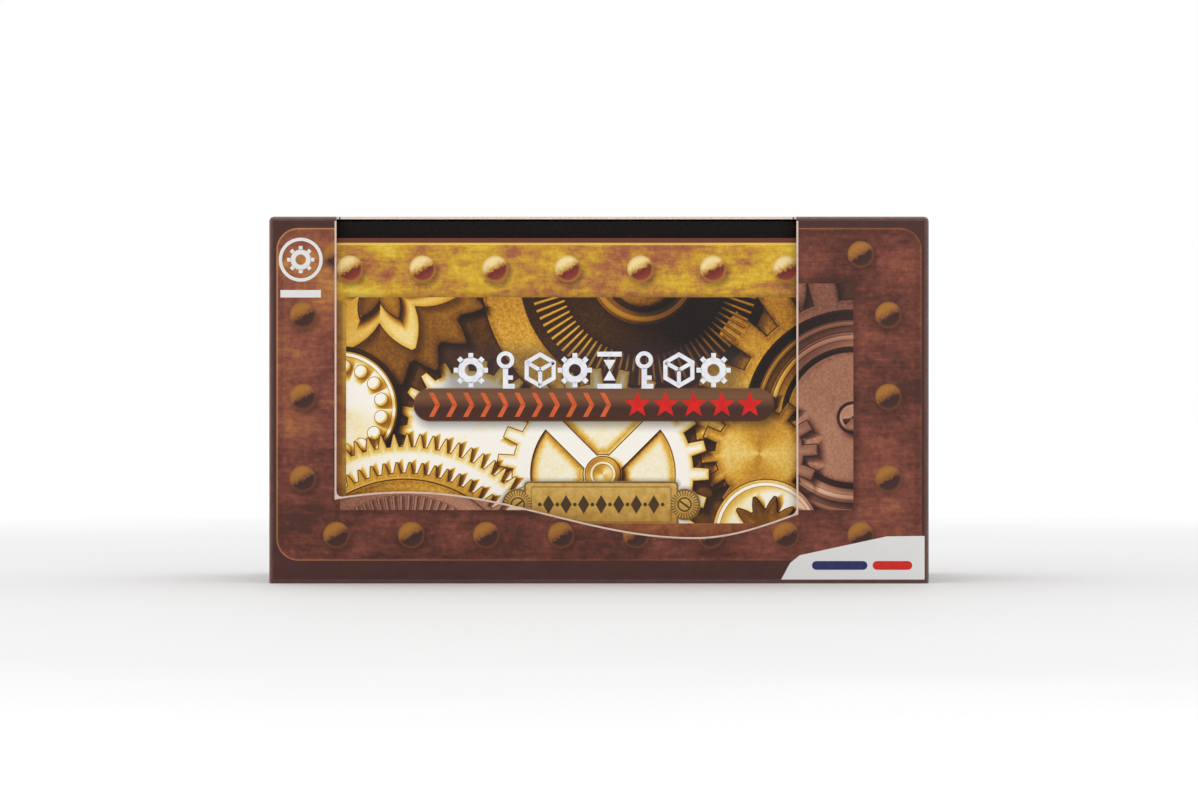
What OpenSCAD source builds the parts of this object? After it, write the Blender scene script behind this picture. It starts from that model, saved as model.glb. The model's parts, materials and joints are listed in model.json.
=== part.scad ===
// Puzzle box in its window carton.
// A printed card cover lifts off a printed card tray. In the tray stands a plywood box, and its black
// lid carries a train of wooden gears that drives two bolts into the box's end walls.
// The origin is at the middle of the base, +Z is up, and the window looks along -Y.

/* [Carton] */
// Outside width of the cover
carton_w = 150; // [146:1:170]
// Outside depth of the cover
carton_d = 60; // [58:1:70]
// Outside height of the cover
carton_h = 83.4; // [80:0.1:95]
// Thickness of the folded card
card_t = 0.5; // [0.4:0.05:0.6]
// Outside radius of the card's folds
fold_r = 1; // [0.6:0.1:2]
// Gap between the faces of cover and tray, front and back
front_gap = 1.6; // [1:0.1:2]
// Gap between cover and tray at each end
end_gap = 0.4; // [0.3:0.1:0.8]
// How far the tray's rim stays below the cover's top
rim_drop = 4.8; // [4:0.1:8]

/* [Window] */
// Distance from the cover's left side to the window
window_left = 15.3; // [12:0.1:30]
// Distance from the cover's right side to the window
window_right = 30.1; // [25:0.1:40]
// How far the window runs back over the top fold
window_back = 2; // [1.5:0.5:42]
// Middle height of the waved lower edge
wave_z = 15.7; // [12:0.1:30]
// Half the height of the wave
wave_rise = 5.2; // [0:0.1:6]
// Distance from the cover's left side to the wave's crest
crest_in = 31; // [28:0.5:40]
// Distance from the cover's left side to the wave's trough
trough_in = 96.7; // [90:0.1:100]
// Length of the wave's half turn past the trough
wave_tail = 45; // [35:1:60]

/* [Wooden box] */
// Thickness of the box's plywood walls and floor
wall_t = 4; // [3.5:0.1:5]
// Gap between the box and the tray
box_gap = 0.4; // [0.3:0.1:0.8]
// Finger joints up each corner
corner_fingers = 7; // [5:2:9]
// Finger joints along the foot of the front and back
foot_fingers = 7; // [5:2:9]
// Thickness of the felt on the floor
felt_t = 1; // [0.5:0.1:2]

/* [Lid] */
// Thickness of the black top plate
plate_t = 3; // [2.8:0.1:3.2]
// Thickness of the core plate that rests on the walls
core_t = 3; // [2.5:0.1:4]
// Thickness of the inner plate that drops between the walls
inner_t = 3.3; // [3:0.1:4]
// Thickness of the plate that guides the bolts
guide_t = 3.2; // [3:0.1:4]
// Thickness of the keeper plate under the bolts
keeper_t = 2.6; // [2.4:0.1:4]

/* [Gears] */
// Pitch diameter per tooth of the wooden gears
gear_module = 1.25; // [1.1:0.05:1.3]
// Teeth on the gear that is turned by hand
drive_teeth = 16; // [15:1:18]
// Teeth on the idler gear
idler_teeth = 24; // [20:1:25]
// Teeth on the gear over the bolts
lock_teeth = 32; // [28:1:33]
// Place of the locking gear's axle, to the right of the middle
lock_x = 14; // [8:1:18]
// Pitch diameter per tooth of the brass pinion
pinion_module = 0.8; // [0.75:0.05:0.85]
// Teeth on the pinion
pinion_teeth = 12; // [11:1:13]
// How far the bolts can travel
bolt_throw = 2.93; // [2:0.01:2.93]

/* [Hidden] */

$fn = 48;
overcut = 1;                 // how far a cutting shape runs past what it cuts
fit = 0.05;                  // radial running clearance, and the gap in a glued joint
press = 0.02;                // gap in a fit that never turns
slack = 0.2;                 // gap round a plate that drops into an opening

// Card tray and wooden box
tray_w = carton_w - 2 * (card_t + end_gap);
tray_d = carton_d - 2 * (card_t + front_gap);
tray_h = carton_h - rim_drop;
box_w = tray_w - 2 * (card_t + box_gap);
box_d = tray_d - 2 * (card_t + box_gap);
box_z = card_t + 0.1;
hollow_w = box_w - 2 * wall_t;
hollow_d = box_d - 2 * wall_t;

// Levels of the lid's layers, from the top down
lid_top = carton_h - card_t - 0.4;
plate_z = lid_top - plate_t;
core_z = plate_z - core_t;
inner_z = core_z - inner_t;
guide_z = inner_z - guide_t;
keeper_z = guide_z - keeper_t;
wall_top = core_z - fit;
wall_h = wall_top - box_z;

// Gear train: the idler meshes with the drive gear on its left and the locking gear on its right
pressure = 20;
backlash = 0.16;
gear_t = 2.5;
gear_z = plate_z + 0.2;
well_gap = 0.6;
lock_pitch_r = gear_module * lock_teeth / 2;
idler_pitch_r = gear_module * idler_teeth / 2;
drive_pitch_r = gear_module * drive_teeth / 2;
idler_y = -4;
drive_y = 1;
idler_x = lock_x - sqrt(pow(lock_pitch_r + idler_pitch_r, 2) - pow(idler_y, 2));
drive_x = idler_x - sqrt(pow(idler_pitch_r + drive_pitch_r, 2) - pow(drive_y - idler_y, 2));
drive_to_idler = atan2(idler_y - drive_y, idler_x - drive_x);
idler_to_lock = atan2(-idler_y, lock_x - idler_x);
drive_turn = drive_to_idler;
idler_turn = drive_to_idler + 180 + 180 / idler_teeth;
lock_turn = idler_to_lock + 180 + 180 / lock_teeth
    - (idler_turn - idler_to_lock) * idler_teeth / lock_teeth;

// Axles and their heads
axle_r = 2;
screw_r = 1.5;
head_t = 0.95;
head_z = gear_z + gear_t - 0.8;
drive_head_r = 5.5;
lock_head_r = 4.5;
idler_head_r = 3.4;
head_gap = 0.15;             // gap round a head in its gear
idler_lift = 0.06;           // how far the idler's head stays above its gear, so that the gear turns
collar_r = 3.8;
collar_t = 1.2;
collar_z = core_z - collar_t - 0.1;
pocket_z = collar_z - 1;
axle_foot_z = pocket_z + 0.3;
slot_w = 1.1;
slot_depth = 0.6;

// Pinion, racks and bolts
pinion_pitch_r = pinion_module * pinion_teeth / 2;
rack_addendum = 0.5;
rack_dedendum = 0.95;
bolt_t = guide_t - 0.2;
bolt_z = guide_z + 0.1;
bolt_w = 8;
bolt_in = pinion_pitch_r + rack_dedendum;
bolt_tip = hollow_w / 2 - slack - 0.3;
mortise_end = bolt_tip + bolt_throw + 0.5;
rack_reach = 12;
rack_teeth_each_side = 4;
rack_relief = 2;             // extra room for the rack beyond its reach
tail_gap = 0.5;              // room behind a bolt's tail
mortise_gap = 0.3;
pinion_well_r = pinion_pitch_r + pinion_module + 0.3;
bearing_z = keeper_z + 0.6;  // floor of the locking axle's lower bearing

// Screws that hold the lid together
lid_screw_x = box_w / 2 - 8;
lid_screw_y = box_d / 2 - 8;
lid_screw_r = 1;
lid_screw_head_r = 2;
screw_head_t = 0.9;
screw_recess = 1.1;
screw_floor_z = inner_z + 1;
keeper_screw_x = [-56, -30, 34, 58];
keeper_screw_y = hollow_d / 2 - 5;
keeper_roof_z = inner_z + 2;

// ---- Shapes that several sub-parts share ----

// Points of an arc, turning from one angle to another
function arc(centre, r, from, to, steps = 4) =
    [for (i = [0 : steps]) let (a = from + (to - from) * i / steps) centre + r * [cos(a), sin(a)]];

// Outline of a rectangle with rounded corners, centred
function rounded_outline(w, d, r) = let (x = w / 2 - r, y = d / 2 - r) concat(
    arc([x, y], r, 0, 90), arc([-x, y], r, 90, 180),
    arc([-x, -y], r, 180, 270), arc([x, -y], r, 270, 360));

// Involute of an angle, in degrees
function involute(a) = tan(a) * 180 / PI - a;

// Half the angle that a tooth fills at radius r
function half_tooth(teeth, pitch_r, r) =
    90 / teeth + involute(pressure) - backlash / 2 / pitch_r * 180 / PI
    - involute(acos(min(1, pitch_r * cos(pressure) / r)));

// Outline of a spur gear, with one tooth centred on +X
function gear_outline(teeth, module_mm, addendum = 0.95, dedendum = 1.3, flank_steps = 4) =
    let (
        pitch_r = module_mm * teeth / 2,
        root_r = pitch_r - dedendum * module_mm,
        tip_r = pitch_r + addendum * module_mm,
        base_r = max(root_r, pitch_r * cos(pressure)),
        radii = [for (i = [0 : flank_steps]) base_r + (tip_r - base_r) * i / flank_steps],
        halves = [for (r = radii) half_tooth(teeth, pitch_r, r)]
    )
    [for (tooth = [0 : teeth - 1]) let (a = tooth * 360 / teeth) each concat(
        [root_r * [cos(a - halves[0]), sin(a - halves[0])]],
        [for (i = [0 : flank_steps]) radii[i] * [cos(a - halves[i]), sin(a - halves[i])]],
        [for (i = [flank_steps : -1 : 0]) radii[i] * [cos(a + halves[i]), sin(a + halves[i])]],
        [root_r * [cos(a + halves[0]), sin(a + halves[0])]]
    )];

// Outline of a rack along +X with its gap centred at x = 0 and its body above its teeth
function rack_outline(from, to, teeth_each_side, depth) =
    let (
        pitch = PI * pinion_module,
        low = pinion_pitch_r - rack_addendum,
        high = pinion_pitch_r + rack_dedendum,
        thick = pitch / 4 - backlash / 2,
        tip = thick - rack_addendum * tan(pressure),
        foot = thick + rack_dedendum * tan(pressure)
    )
    concat(
        [[to, high], [to, high + depth], [from, high + depth], [from, high]],
        [for (i = [-teeth_each_side : teeth_each_side - 1]) let (x = (i + 0.5) * pitch)
            each [[x - foot, high], [x - tip, low], [x + tip, low], [x + foot, high]]]
    );

// A block given by its lowest corner and its highest corner
module block(low, high) {
    translate(low) cube(high - low);
}

// A card box with rounded upright folds and one closed end
module card_box(w, d, h, closed_below) {
    difference() {
        linear_extrude(h) polygon(rounded_outline(w, d, fold_r));
        translate([0, 0, closed_below ? card_t : -overcut])
            linear_extrude(h - card_t + overcut)
                polygon(rounded_outline(w - 2 * card_t, d - 2 * card_t, fold_r - card_t / 2));
    }
}

// A plate of the lid, centred, with its underside at z
module lid_layer(w, d, z, t) {
    translate([-w / 2, -d / 2, z]) cube([w, d, t]);
}

// Holes for the lid's corner screws
module lid_screw_holes() {
    for (sx = [-1, 1], sy = [-1, 1])
        translate([sx * lid_screw_x, sy * lid_screw_y, screw_floor_z])
            cylinder(h = lid_top, r = lid_screw_r + fit);
}

// Puts its children at each keeper screw, level with the keeper plate's underside
module at_keeper_screws() {
    for (i = [0 : len(keeper_screw_x) - 1])
        translate([keeper_screw_x[i], (i % 2 == 0 ? 1 : -1) * keeper_screw_y, keeper_z])
            children();
}

// Holes for the keeper plate's screws
module keeper_screw_holes() {
    at_keeper_screws() translate([0, 0, -overcut])
        cylinder(h = keeper_roof_z - keeper_z + overcut, r = lid_screw_r + fit);
}

// A screw's head with a slot across it, its underside at z = 0
module slotted_head(r, t, turn) {
    difference() {
        cylinder(h = t, r = r);
        rotate(turn) translate([-r - overcut, -slot_w / 2, t - slot_depth])
            cube([2 * (r + overcut), slot_w, slot_depth + overcut]);
    }
}

// A wooden gear at its place, with a bore, a recess for the axle's head and a ring of round holes
module wooden_gear(teeth, x, y, turn, bore_r, head_r, holes, hole_r, hole_ring) {
    translate([x, y, gear_z]) rotate(turn) difference() {
        linear_extrude(gear_t) polygon(gear_outline(teeth, gear_module));
        translate([0, 0, -overcut]) cylinder(h = gear_t + 2 * overcut, r = bore_r);
        translate([0, 0, head_z - gear_z]) cylinder(h = gear_t, r = head_r + head_gap);
        for (i = [1 : 1 : holes])
            rotate(i * 360 / holes) translate([hole_ring, 0, -overcut])
                cylinder(h = gear_t + 2 * overcut, r = hole_r);
    }
}

// The fingers of one corner, every second step up the wall
module corner_notches(first) {
    step = wall_h / corner_fingers;
    for (i = [first : 2 : corner_fingers - 1])
        translate([0, 0, box_z + i * step - (i == 0 ? overcut : fit / 2)])
            cube([wall_t + overcut, wall_t + overcut,
                step + (i == 0 || i == corner_fingers - 1 ? overcut : fit)]);
}

// Slots for the floor's tabs along the foot of a wall
module foot_slots(length, fingers) {
    step = length / fingers;
    for (i = [1 : 2 : fingers - 1])
        translate([-length / 2 + i * step - fit / 2, -overcut, box_z - overcut])
            cube([step + fit, wall_t + 2 * overcut, wall_t + overcut + fit]);
}

// ---- Printed card ----

module outer_cover() {
    left = window_left - carton_w / 2;
    right = carton_w / 2 - window_right;
    crest = crest_in - carton_w / 2;
    trough = trough_in - carton_w / 2;
    steps = 24;
    edge = [for (i = [0 : steps]) let (
            x = left + (right - left) * i / steps,
            phase = x < trough ? (x - crest) / (trough - crest) : 1 + (x - trough) / wave_tail
        ) [x, wave_z + wave_rise * cos(180 * phase)]];
    color("#5c3a33") difference() {
        card_box(carton_w, carton_d, carton_h, false);
        translate([0, -carton_d / 2 + card_t + overcut / 2, 0]) rotate([90, 0, 0])
            linear_extrude(card_t + 1.5 * overcut)
                polygon(concat(edge, [[right, carton_h + overcut], [left, carton_h + overcut]]));
        block([left, -carton_d / 2 - overcut, carton_h - card_t - overcut],
            [right, -carton_d / 2 + window_back, carton_h + overcut]);
    }
}

module inner_tray() {
    color("#c99a2e") card_box(tray_w, tray_d, tray_h, true);
}

// ---- Wooden box ----

module box_floor() {
    step_x = box_w / foot_fingers;
    step_y = box_d / 3;
    color("#c8a06a") union() {
        block([-hollow_w / 2 + fit, -hollow_d / 2 + fit, box_z],
            [hollow_w / 2 - fit, hollow_d / 2 - fit, box_z + wall_t]);
        for (i = [1 : 2 : foot_fingers - 1])
            block([-box_w / 2 + i * step_x, -box_d / 2, box_z],
                [-box_w / 2 + (i + 1) * step_x, box_d / 2, box_z + wall_t]);
        block([-box_w / 2, -step_y / 2, box_z], [box_w / 2, step_y / 2, box_z + wall_t]);
    }
}

// The front wall, which the back wall mirrors
module long_wall() {
    color("#c8a06a") difference() {
        block([-box_w / 2, -box_d / 2, box_z], [box_w / 2, -box_d / 2 + wall_t, wall_top]);
        for (side = [0, 1]) mirror([side, 0, 0])
            translate([-box_w / 2 - overcut, -box_d / 2 - overcut, 0])
                corner_notches(1);
        translate([0, -box_d / 2, 0]) foot_slots(box_w, foot_fingers);
    }
}

module front_wall() {
    long_wall();
}

module back_wall() {
    mirror([0, 1, 0]) long_wall();
}

// An end wall with the mortise that takes a bolt's tip; side is -1 on the left and 1 on the right
module end_wall(side) {
    mortise_y = -side * (bolt_in + bolt_w / 2);
    color("#c8a06a") mirror([side < 0 ? 1 : 0, 0, 0]) difference() {
        block([box_w / 2 - wall_t, -box_d / 2, box_z], [box_w / 2, box_d / 2, wall_top]);
        for (end = [0, 1]) mirror([0, end, 0])
            translate([box_w / 2 - wall_t - fit, -box_d / 2 - overcut + fit, 0])
                corner_notches(0);
        block([hollow_w / 2 - overcut, -box_d / 6 - fit, box_z - overcut],
            [box_w / 2 + overcut, box_d / 6 + fit, box_z + wall_t + fit]);
        block([hollow_w / 2 - overcut, mortise_y - bolt_w / 2 - mortise_gap, bolt_z - mortise_gap],
            [mortise_end, mortise_y + bolt_w / 2 + mortise_gap, bolt_z + bolt_t + mortise_gap]);
    }
}

module left_wall() {
    end_wall(-1);
}

module right_wall() {
    end_wall(1);
}

module floor_felt() {
    color("#5e1f22") block([-hollow_w / 2 + slack, -hollow_d / 2 + slack, box_z + wall_t],
        [hollow_w / 2 - slack, hollow_d / 2 - slack, box_z + wall_t + felt_t]);
}

// ---- Lid ----

module lid_plate() {
    wells = [
        [drive_x, drive_y, drive_pitch_r],
        [idler_x, idler_y, idler_pitch_r],
        [lock_x, 0, lock_pitch_r],
    ];
    color("#231d1b") difference() {
        lid_layer(box_w, box_d, plate_z, plate_t);
        for (well = wells)
            translate([well[0], well[1], plate_z - overcut])
                cylinder(h = plate_t + 2 * overcut, r = well[2] + gear_module + well_gap, $fn = 96);
        lid_screw_holes();
        for (sx = [-1, 1], sy = [-1, 1])
            translate([sx * lid_screw_x, sy * lid_screw_y, lid_top - screw_recess])
                cylinder(h = screw_recess + overcut, r = lid_screw_head_r + head_gap);
    }
}

module lid_core() {
    holes = [
        [drive_x, drive_y, axle_r + fit],
        [idler_x, idler_y, screw_r + press],
        [lock_x, 0, axle_r + fit],
    ];
    color("#231d1b") difference() {
        lid_layer(box_w, box_d, core_z, core_t);
        for (hole = holes)
            translate([hole[0], hole[1], core_z - overcut]) cylinder(h = core_t + 2 * overcut, r = hole[2]);
        lid_screw_holes();
    }
}

module inner_plate() {
    color("#c8a06a") difference() {
        lid_layer(hollow_w - 2 * slack, hollow_d - 2 * slack, inner_z, inner_t);
        translate([lock_x, 0, inner_z - overcut]) cylinder(h = inner_t + 2 * overcut, r = axle_r + fit);
        translate([drive_x, drive_y, pocket_z]) cylinder(h = inner_t, r = collar_r + 2 * slack);
        lid_screw_holes();
        keeper_screw_holes();
    }
}

// One of the two guides beside the bolts, seen from the pinion's axle. Its strip lies along the front,
// its tongue fills the space behind the other bolt's tail, and reach gives how far it runs each way.
module bolt_guide(reach_left, reach_right) {
    strip_y = -bolt_in - bolt_w - slack;
    teeth_y = pinion_pitch_r - rack_addendum - slack;
    tail = rack_reach + tail_gap;
    relief = rack_reach + rack_relief;
    difference() {
        union() {
            block([-reach_left, slack - hollow_d / 2, guide_z], [reach_right, strip_y, inner_z]);
            block([-reach_left, strip_y - fit, guide_z], [-tail, teeth_y, inner_z]);
            block([-reach_left, teeth_y - fit, guide_z], [-relief, bolt_in - slack, inner_z]);
            block([-relief, -teeth_y, guide_z], [0, teeth_y, inner_z]);
        }
        translate([0, 0, guide_z - overcut])
            cylinder(h = guide_t + 2 * overcut, r = pinion_well_r);
    }
}

module front_guide() {
    half = hollow_w / 2 - slack;
    color("#c8a06a") difference() {
        translate([lock_x, 0, 0]) bolt_guide(half + lock_x, half - lock_x);
        keeper_screw_holes();
    }
}

module back_guide() {
    half = hollow_w / 2 - slack;
    color("#c8a06a") difference() {
        translate([lock_x, 0, 0]) rotate(180) bolt_guide(half - lock_x, half + lock_x);
        keeper_screw_holes();
    }
}

module keeper_plate() {
    color("#c8a06a") difference() {
        lid_layer(hollow_w - 2 * slack, hollow_d - 2 * slack, keeper_z, keeper_t);
        translate([lock_x, 0, bearing_z]) cylinder(h = keeper_t, r = axle_r + fit);
        keeper_screw_holes();
        at_keeper_screws() translate([0, 0, -overcut])
            cylinder(h = screw_recess + overcut, r = lid_screw_head_r + head_gap);
    }
}

module gear_washers() {
    washer_t = gear_z - plate_z - fit;
    color("#b9893a")
        for (axle = [[drive_x, drive_y, axle_r], [idler_x, idler_y, screw_r], [lock_x, 0, axle_r]])
            translate([axle[0], axle[1], plate_z]) difference() {
                cylinder(h = washer_t, r = axle[2] + 2);
                translate([0, 0, -overcut]) cylinder(h = washer_t + 2 * overcut, r = axle[2] + fit);
            }
}

module idler_screw() {
    color("#b9893a") translate([idler_x, idler_y, 0]) union() {
        translate([0, 0, core_z + slack]) cylinder(h = head_z + 2 * fit - core_z - slack, r = screw_r);
        translate([0, 0, head_z + idler_lift]) slotted_head(idler_head_r, head_t - idler_lift, 35);
    }
}

module lid_screws() {
    color("#b9893a")
        for (sx = [-1, 1], sy = [-1, 1])
            translate([sx * lid_screw_x, sy * lid_screw_y, 0]) {
                translate([0, 0, screw_floor_z + slack])
                    cylinder(h = lid_top - 1 - screw_floor_z - slack, r = lid_screw_r);
                translate([0, 0, lid_top - 1])
                    slotted_head(lid_screw_head_r, screw_head_t, 60 * sx + 25 * sy);
            }
}

module keeper_screws() {
    color("#a7a9ac") at_keeper_screws() {
        translate([0, 0, screw_head_t])
            cylinder(h = keeper_roof_z - slack - keeper_z - screw_head_t, r = lid_screw_r);
        translate([0, 0, 1]) mirror([0, 0, 1]) slotted_head(lid_screw_head_r, screw_head_t, 30);
    }
}

// ---- Gear train ----

module drive_gear() {
    color("#d8b070")
        wooden_gear(drive_teeth, drive_x, drive_y, drive_turn, axle_r + press, drive_head_r, 0, 1, 0);
}

module drive_axle() {
    color("#b9893a") translate([drive_x, drive_y, 0]) union() {
        translate([0, 0, axle_foot_z]) cylinder(h = head_z + 2 * fit - axle_foot_z, r = axle_r);
        translate([0, 0, head_z]) slotted_head(drive_head_r, head_t, 20);
    }
}

module drive_collar() {
    color("#a7a9ac") translate([drive_x, drive_y, collar_z]) difference() {
        cylinder(h = collar_t, r = collar_r);
        translate([0, 0, -overcut]) cylinder(h = collar_t + 2 * overcut, r = axle_r + press);
    }
}

module idler_gear() {
    color("#a8743c")
        wooden_gear(idler_teeth, idler_x, idler_y, idler_turn, screw_r + fit, idler_head_r, 5, 2.6, 8.8);
}

module lock_gear() {
    color("#d8b070")
        wooden_gear(lock_teeth, lock_x, 0, lock_turn, axle_r + press, lock_head_r, 6, 4, 11.8);
}

module lock_axle() {
    color("#b9893a") translate([lock_x, 0, 0]) union() {
        translate([0, 0, bearing_z + slack]) cylinder(h = head_z + 2 * fit - bearing_z - slack, r = axle_r);
        translate([0, 0, head_z]) slotted_head(lock_head_r, head_t, 75);
    }
}

module pinion() {
    color("#b9893a") translate([lock_x, 0, guide_z + 0.2]) rotate(90) difference() {
        linear_extrude(guide_t - 0.4) polygon(gear_outline(pinion_teeth, pinion_module, 0.9, 1));
        translate([0, 0, -overcut]) cylinder(h = guide_t + 2 * overcut, r = axle_r + press);
    }
}

// ---- Bolts ----

// The bolt that reaches towards -X; its rack lies on the pinion's +Y side
module left_bolt() {
    color("#8a5a34") translate([lock_x, 0, bolt_z]) linear_extrude(bolt_t)
        polygon(rack_outline(-bolt_tip - lock_x, rack_reach, rack_teeth_each_side, bolt_w));
}

// The bolt that reaches towards +X, on the pinion's -Y side
module right_bolt() {
    color("#8a5a34") translate([lock_x, 0, bolt_z]) rotate(180) linear_extrude(bolt_t)
        polygon(rack_outline(-bolt_tip + lock_x, rack_reach, rack_teeth_each_side, bolt_w));
}

outer_cover();
inner_tray();
box_floor();
front_wall();
back_wall();
left_wall();
right_wall();
floor_felt();
lid_plate();
lid_core();
inner_plate();
front_guide();
back_guide();
keeper_plate();
gear_washers();
idler_screw();
lid_screws();
keeper_screws();
drive_gear();
drive_axle();
drive_collar();
idler_gear();
lock_gear();
lock_axle();
pinion();
left_bolt();
right_bolt();
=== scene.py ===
"""Puzzle box pack: a printed card cover and tray round a plywood box with a geared lid.

Everything is in metres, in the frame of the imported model: +Z up, the window towards -Y. Drawings on the
printed card are worked out in millimetres from the surface's own place.
"""

from __future__ import annotations

import json
import logging
import math
from dataclasses import dataclass
from enum import Enum
from typing import Callable, Sequence, Union

import bmesh
import bpy
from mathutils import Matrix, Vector

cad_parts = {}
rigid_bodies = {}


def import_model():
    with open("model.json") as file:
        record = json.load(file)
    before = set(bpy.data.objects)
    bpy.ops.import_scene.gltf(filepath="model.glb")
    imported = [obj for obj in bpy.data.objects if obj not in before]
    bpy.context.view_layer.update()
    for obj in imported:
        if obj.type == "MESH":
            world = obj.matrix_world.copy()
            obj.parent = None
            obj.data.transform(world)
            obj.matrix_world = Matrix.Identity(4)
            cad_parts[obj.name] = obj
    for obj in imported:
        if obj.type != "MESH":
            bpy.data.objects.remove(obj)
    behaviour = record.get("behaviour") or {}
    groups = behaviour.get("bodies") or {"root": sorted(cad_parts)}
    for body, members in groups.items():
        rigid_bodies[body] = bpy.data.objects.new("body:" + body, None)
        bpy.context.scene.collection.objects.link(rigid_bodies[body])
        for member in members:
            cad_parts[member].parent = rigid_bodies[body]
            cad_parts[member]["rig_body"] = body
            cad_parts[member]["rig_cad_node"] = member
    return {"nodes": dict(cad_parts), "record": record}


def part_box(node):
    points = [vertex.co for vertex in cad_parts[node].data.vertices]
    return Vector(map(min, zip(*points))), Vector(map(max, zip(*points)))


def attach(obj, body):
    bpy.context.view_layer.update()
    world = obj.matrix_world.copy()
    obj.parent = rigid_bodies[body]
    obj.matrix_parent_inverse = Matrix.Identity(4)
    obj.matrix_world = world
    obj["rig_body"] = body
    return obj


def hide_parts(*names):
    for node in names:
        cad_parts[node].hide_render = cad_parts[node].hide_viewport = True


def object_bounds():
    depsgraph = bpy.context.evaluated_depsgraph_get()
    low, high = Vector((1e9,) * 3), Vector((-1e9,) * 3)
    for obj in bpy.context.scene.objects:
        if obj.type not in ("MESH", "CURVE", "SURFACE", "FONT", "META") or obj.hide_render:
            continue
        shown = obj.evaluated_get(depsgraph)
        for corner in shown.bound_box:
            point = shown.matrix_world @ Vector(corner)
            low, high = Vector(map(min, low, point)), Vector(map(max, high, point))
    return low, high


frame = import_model()
cad_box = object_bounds()
log = logging.getLogger("puzzle_pack")

MM = 0.001
INK_DEPTH = 0.02 * MM  # how far a printed sheet or mark stands off the card
TOUCH = 1e-6  # corners nearer than this, in metres, lie in one plane
RATING_Z = 40.6  # height of the rating row, in millimetres
Number = Union["Field", float]
Colour = tuple[float, float, float, float]
Stop = tuple[float, str]


def ink(code: str) -> Colour:
    """Turns a printer's hex code into linear light.

    Args:
        code: Six hex digits, red, green and blue.

    Returns:
        The colour with full opacity.
    """
    parts = [int(code[i : i + 2], 16) / 255 for i in (0, 2, 4)]
    red, green, blue = (p / 12.92 if p <= 0.04045 else ((p + 0.055) / 1.055) ** 2.4 for p in parts)
    return (red, green, blue, 1.0)


# ---------------------------------------------------------------------------------------------------
# Drawing on a surface
# ---------------------------------------------------------------------------------------------------


class Field:
    """A number at every point of a surface, with the arithmetic that drawing needs."""

    def __init__(self, canvas: Sheet, socket: bpy.types.NodeSocket) -> None:
        """Keeps the canvas and the socket that carries the number."""
        self.canvas = canvas
        self.socket = socket

    def __add__(self, other: Number) -> Field:
        """Adds."""
        return self.canvas.math("ADD", self, other)

    __radd__ = __add__

    def __sub__(self, other: Number) -> Field:
        """Takes other away."""
        return self.canvas.math("SUBTRACT", self, other)

    def __rsub__(self, other: Number) -> Field:
        """Is taken away from other."""
        return self.canvas.math("SUBTRACT", other, self)

    def __mul__(self, other: Number) -> Field:
        """Multiplies."""
        return self.canvas.math("MULTIPLY", self, other)

    __rmul__ = __mul__

    def __truediv__(self, other: Number) -> Field:
        """Divides by other."""
        return self.canvas.math("DIVIDE", self, other)

    def least(self, other: Number) -> Field:
        """The smaller of the two."""
        return self.canvas.math("MINIMUM", self, other)

    def most(self, other: Number) -> Field:
        """The larger of the two."""
        return self.canvas.math("MAXIMUM", self, other)

    def size(self) -> Field:
        """The number without its sign."""
        return self.canvas.math("ABSOLUTE", self)

    def part(self) -> Field:
        """What is over the next lower whole number."""
        return self.canvas.math("FRACT", self)

    def wave(self) -> Field:
        """The sine, of an angle in radians."""
        return self.canvas.math("SINE", self)

    def rise(self, low: float, high: float, start: float = 0.0, end: float = 1.0) -> Field:
        """Goes smoothly from start to end while the number goes from low to high.

        Args:
            low: Number at which the rise starts.
            high: Number at which it ends.
            start: Value up to low.
            end: Value from high.

        Returns:
            The eased value.
        """
        node = self.canvas.node("ShaderNodeMapRange", interpolation_type="SMOOTHSTEP", clamp=False)
        self.canvas.feed(node.inputs["Value"], self)
        for name, value in (("From Min", low), ("From Max", high), ("To Min", start), ("To Max", end)):
            node.inputs[name].default_value = value
        return Field(self.canvas, node.outputs["Result"])


@dataclass(frozen=True)
class Spot:
    """A place on a flat drawing, in millimetres to the right and up."""

    x: Field
    y: Field

    def moved(self, right: Number, up: Number) -> Spot:
        """The same place seen from an origin that lies right and up of the old one."""
        return Spot(self.x - right, self.y - up)

    def length(self) -> Field:
        """Distance from the origin."""
        return self.x.canvas.math("SQRT", self.x * self.x + self.y * self.y)

    def slab(self, half_w: float, half_h: float, corner: float) -> Field:
        """Distance outside a rectangle with rounded corners, negative inside it.

        Args:
            half_w: Half of its width.
            half_h: Half of its height.
            corner: Radius of its corners.

        Returns:
            The distance.
        """
        out_x = self.x.size() - (half_w - corner)
        out_y = self.y.size() - (half_h - corner)
        outside = Spot(out_x.most(0.0), out_y.most(0.0)).length()
        return outside + out_x.most(out_y).least(0.0) - corner

    def along(self, pitch: float, count: int) -> Spot:
        """The same place from the nearest of count origins, the first here and the rest to the right."""
        steps = self.x.canvas.math("ROUND", self.x / pitch).most(0.0).least(count - 1.0)
        return Spot(self.x - steps * pitch, self.y)


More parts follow.
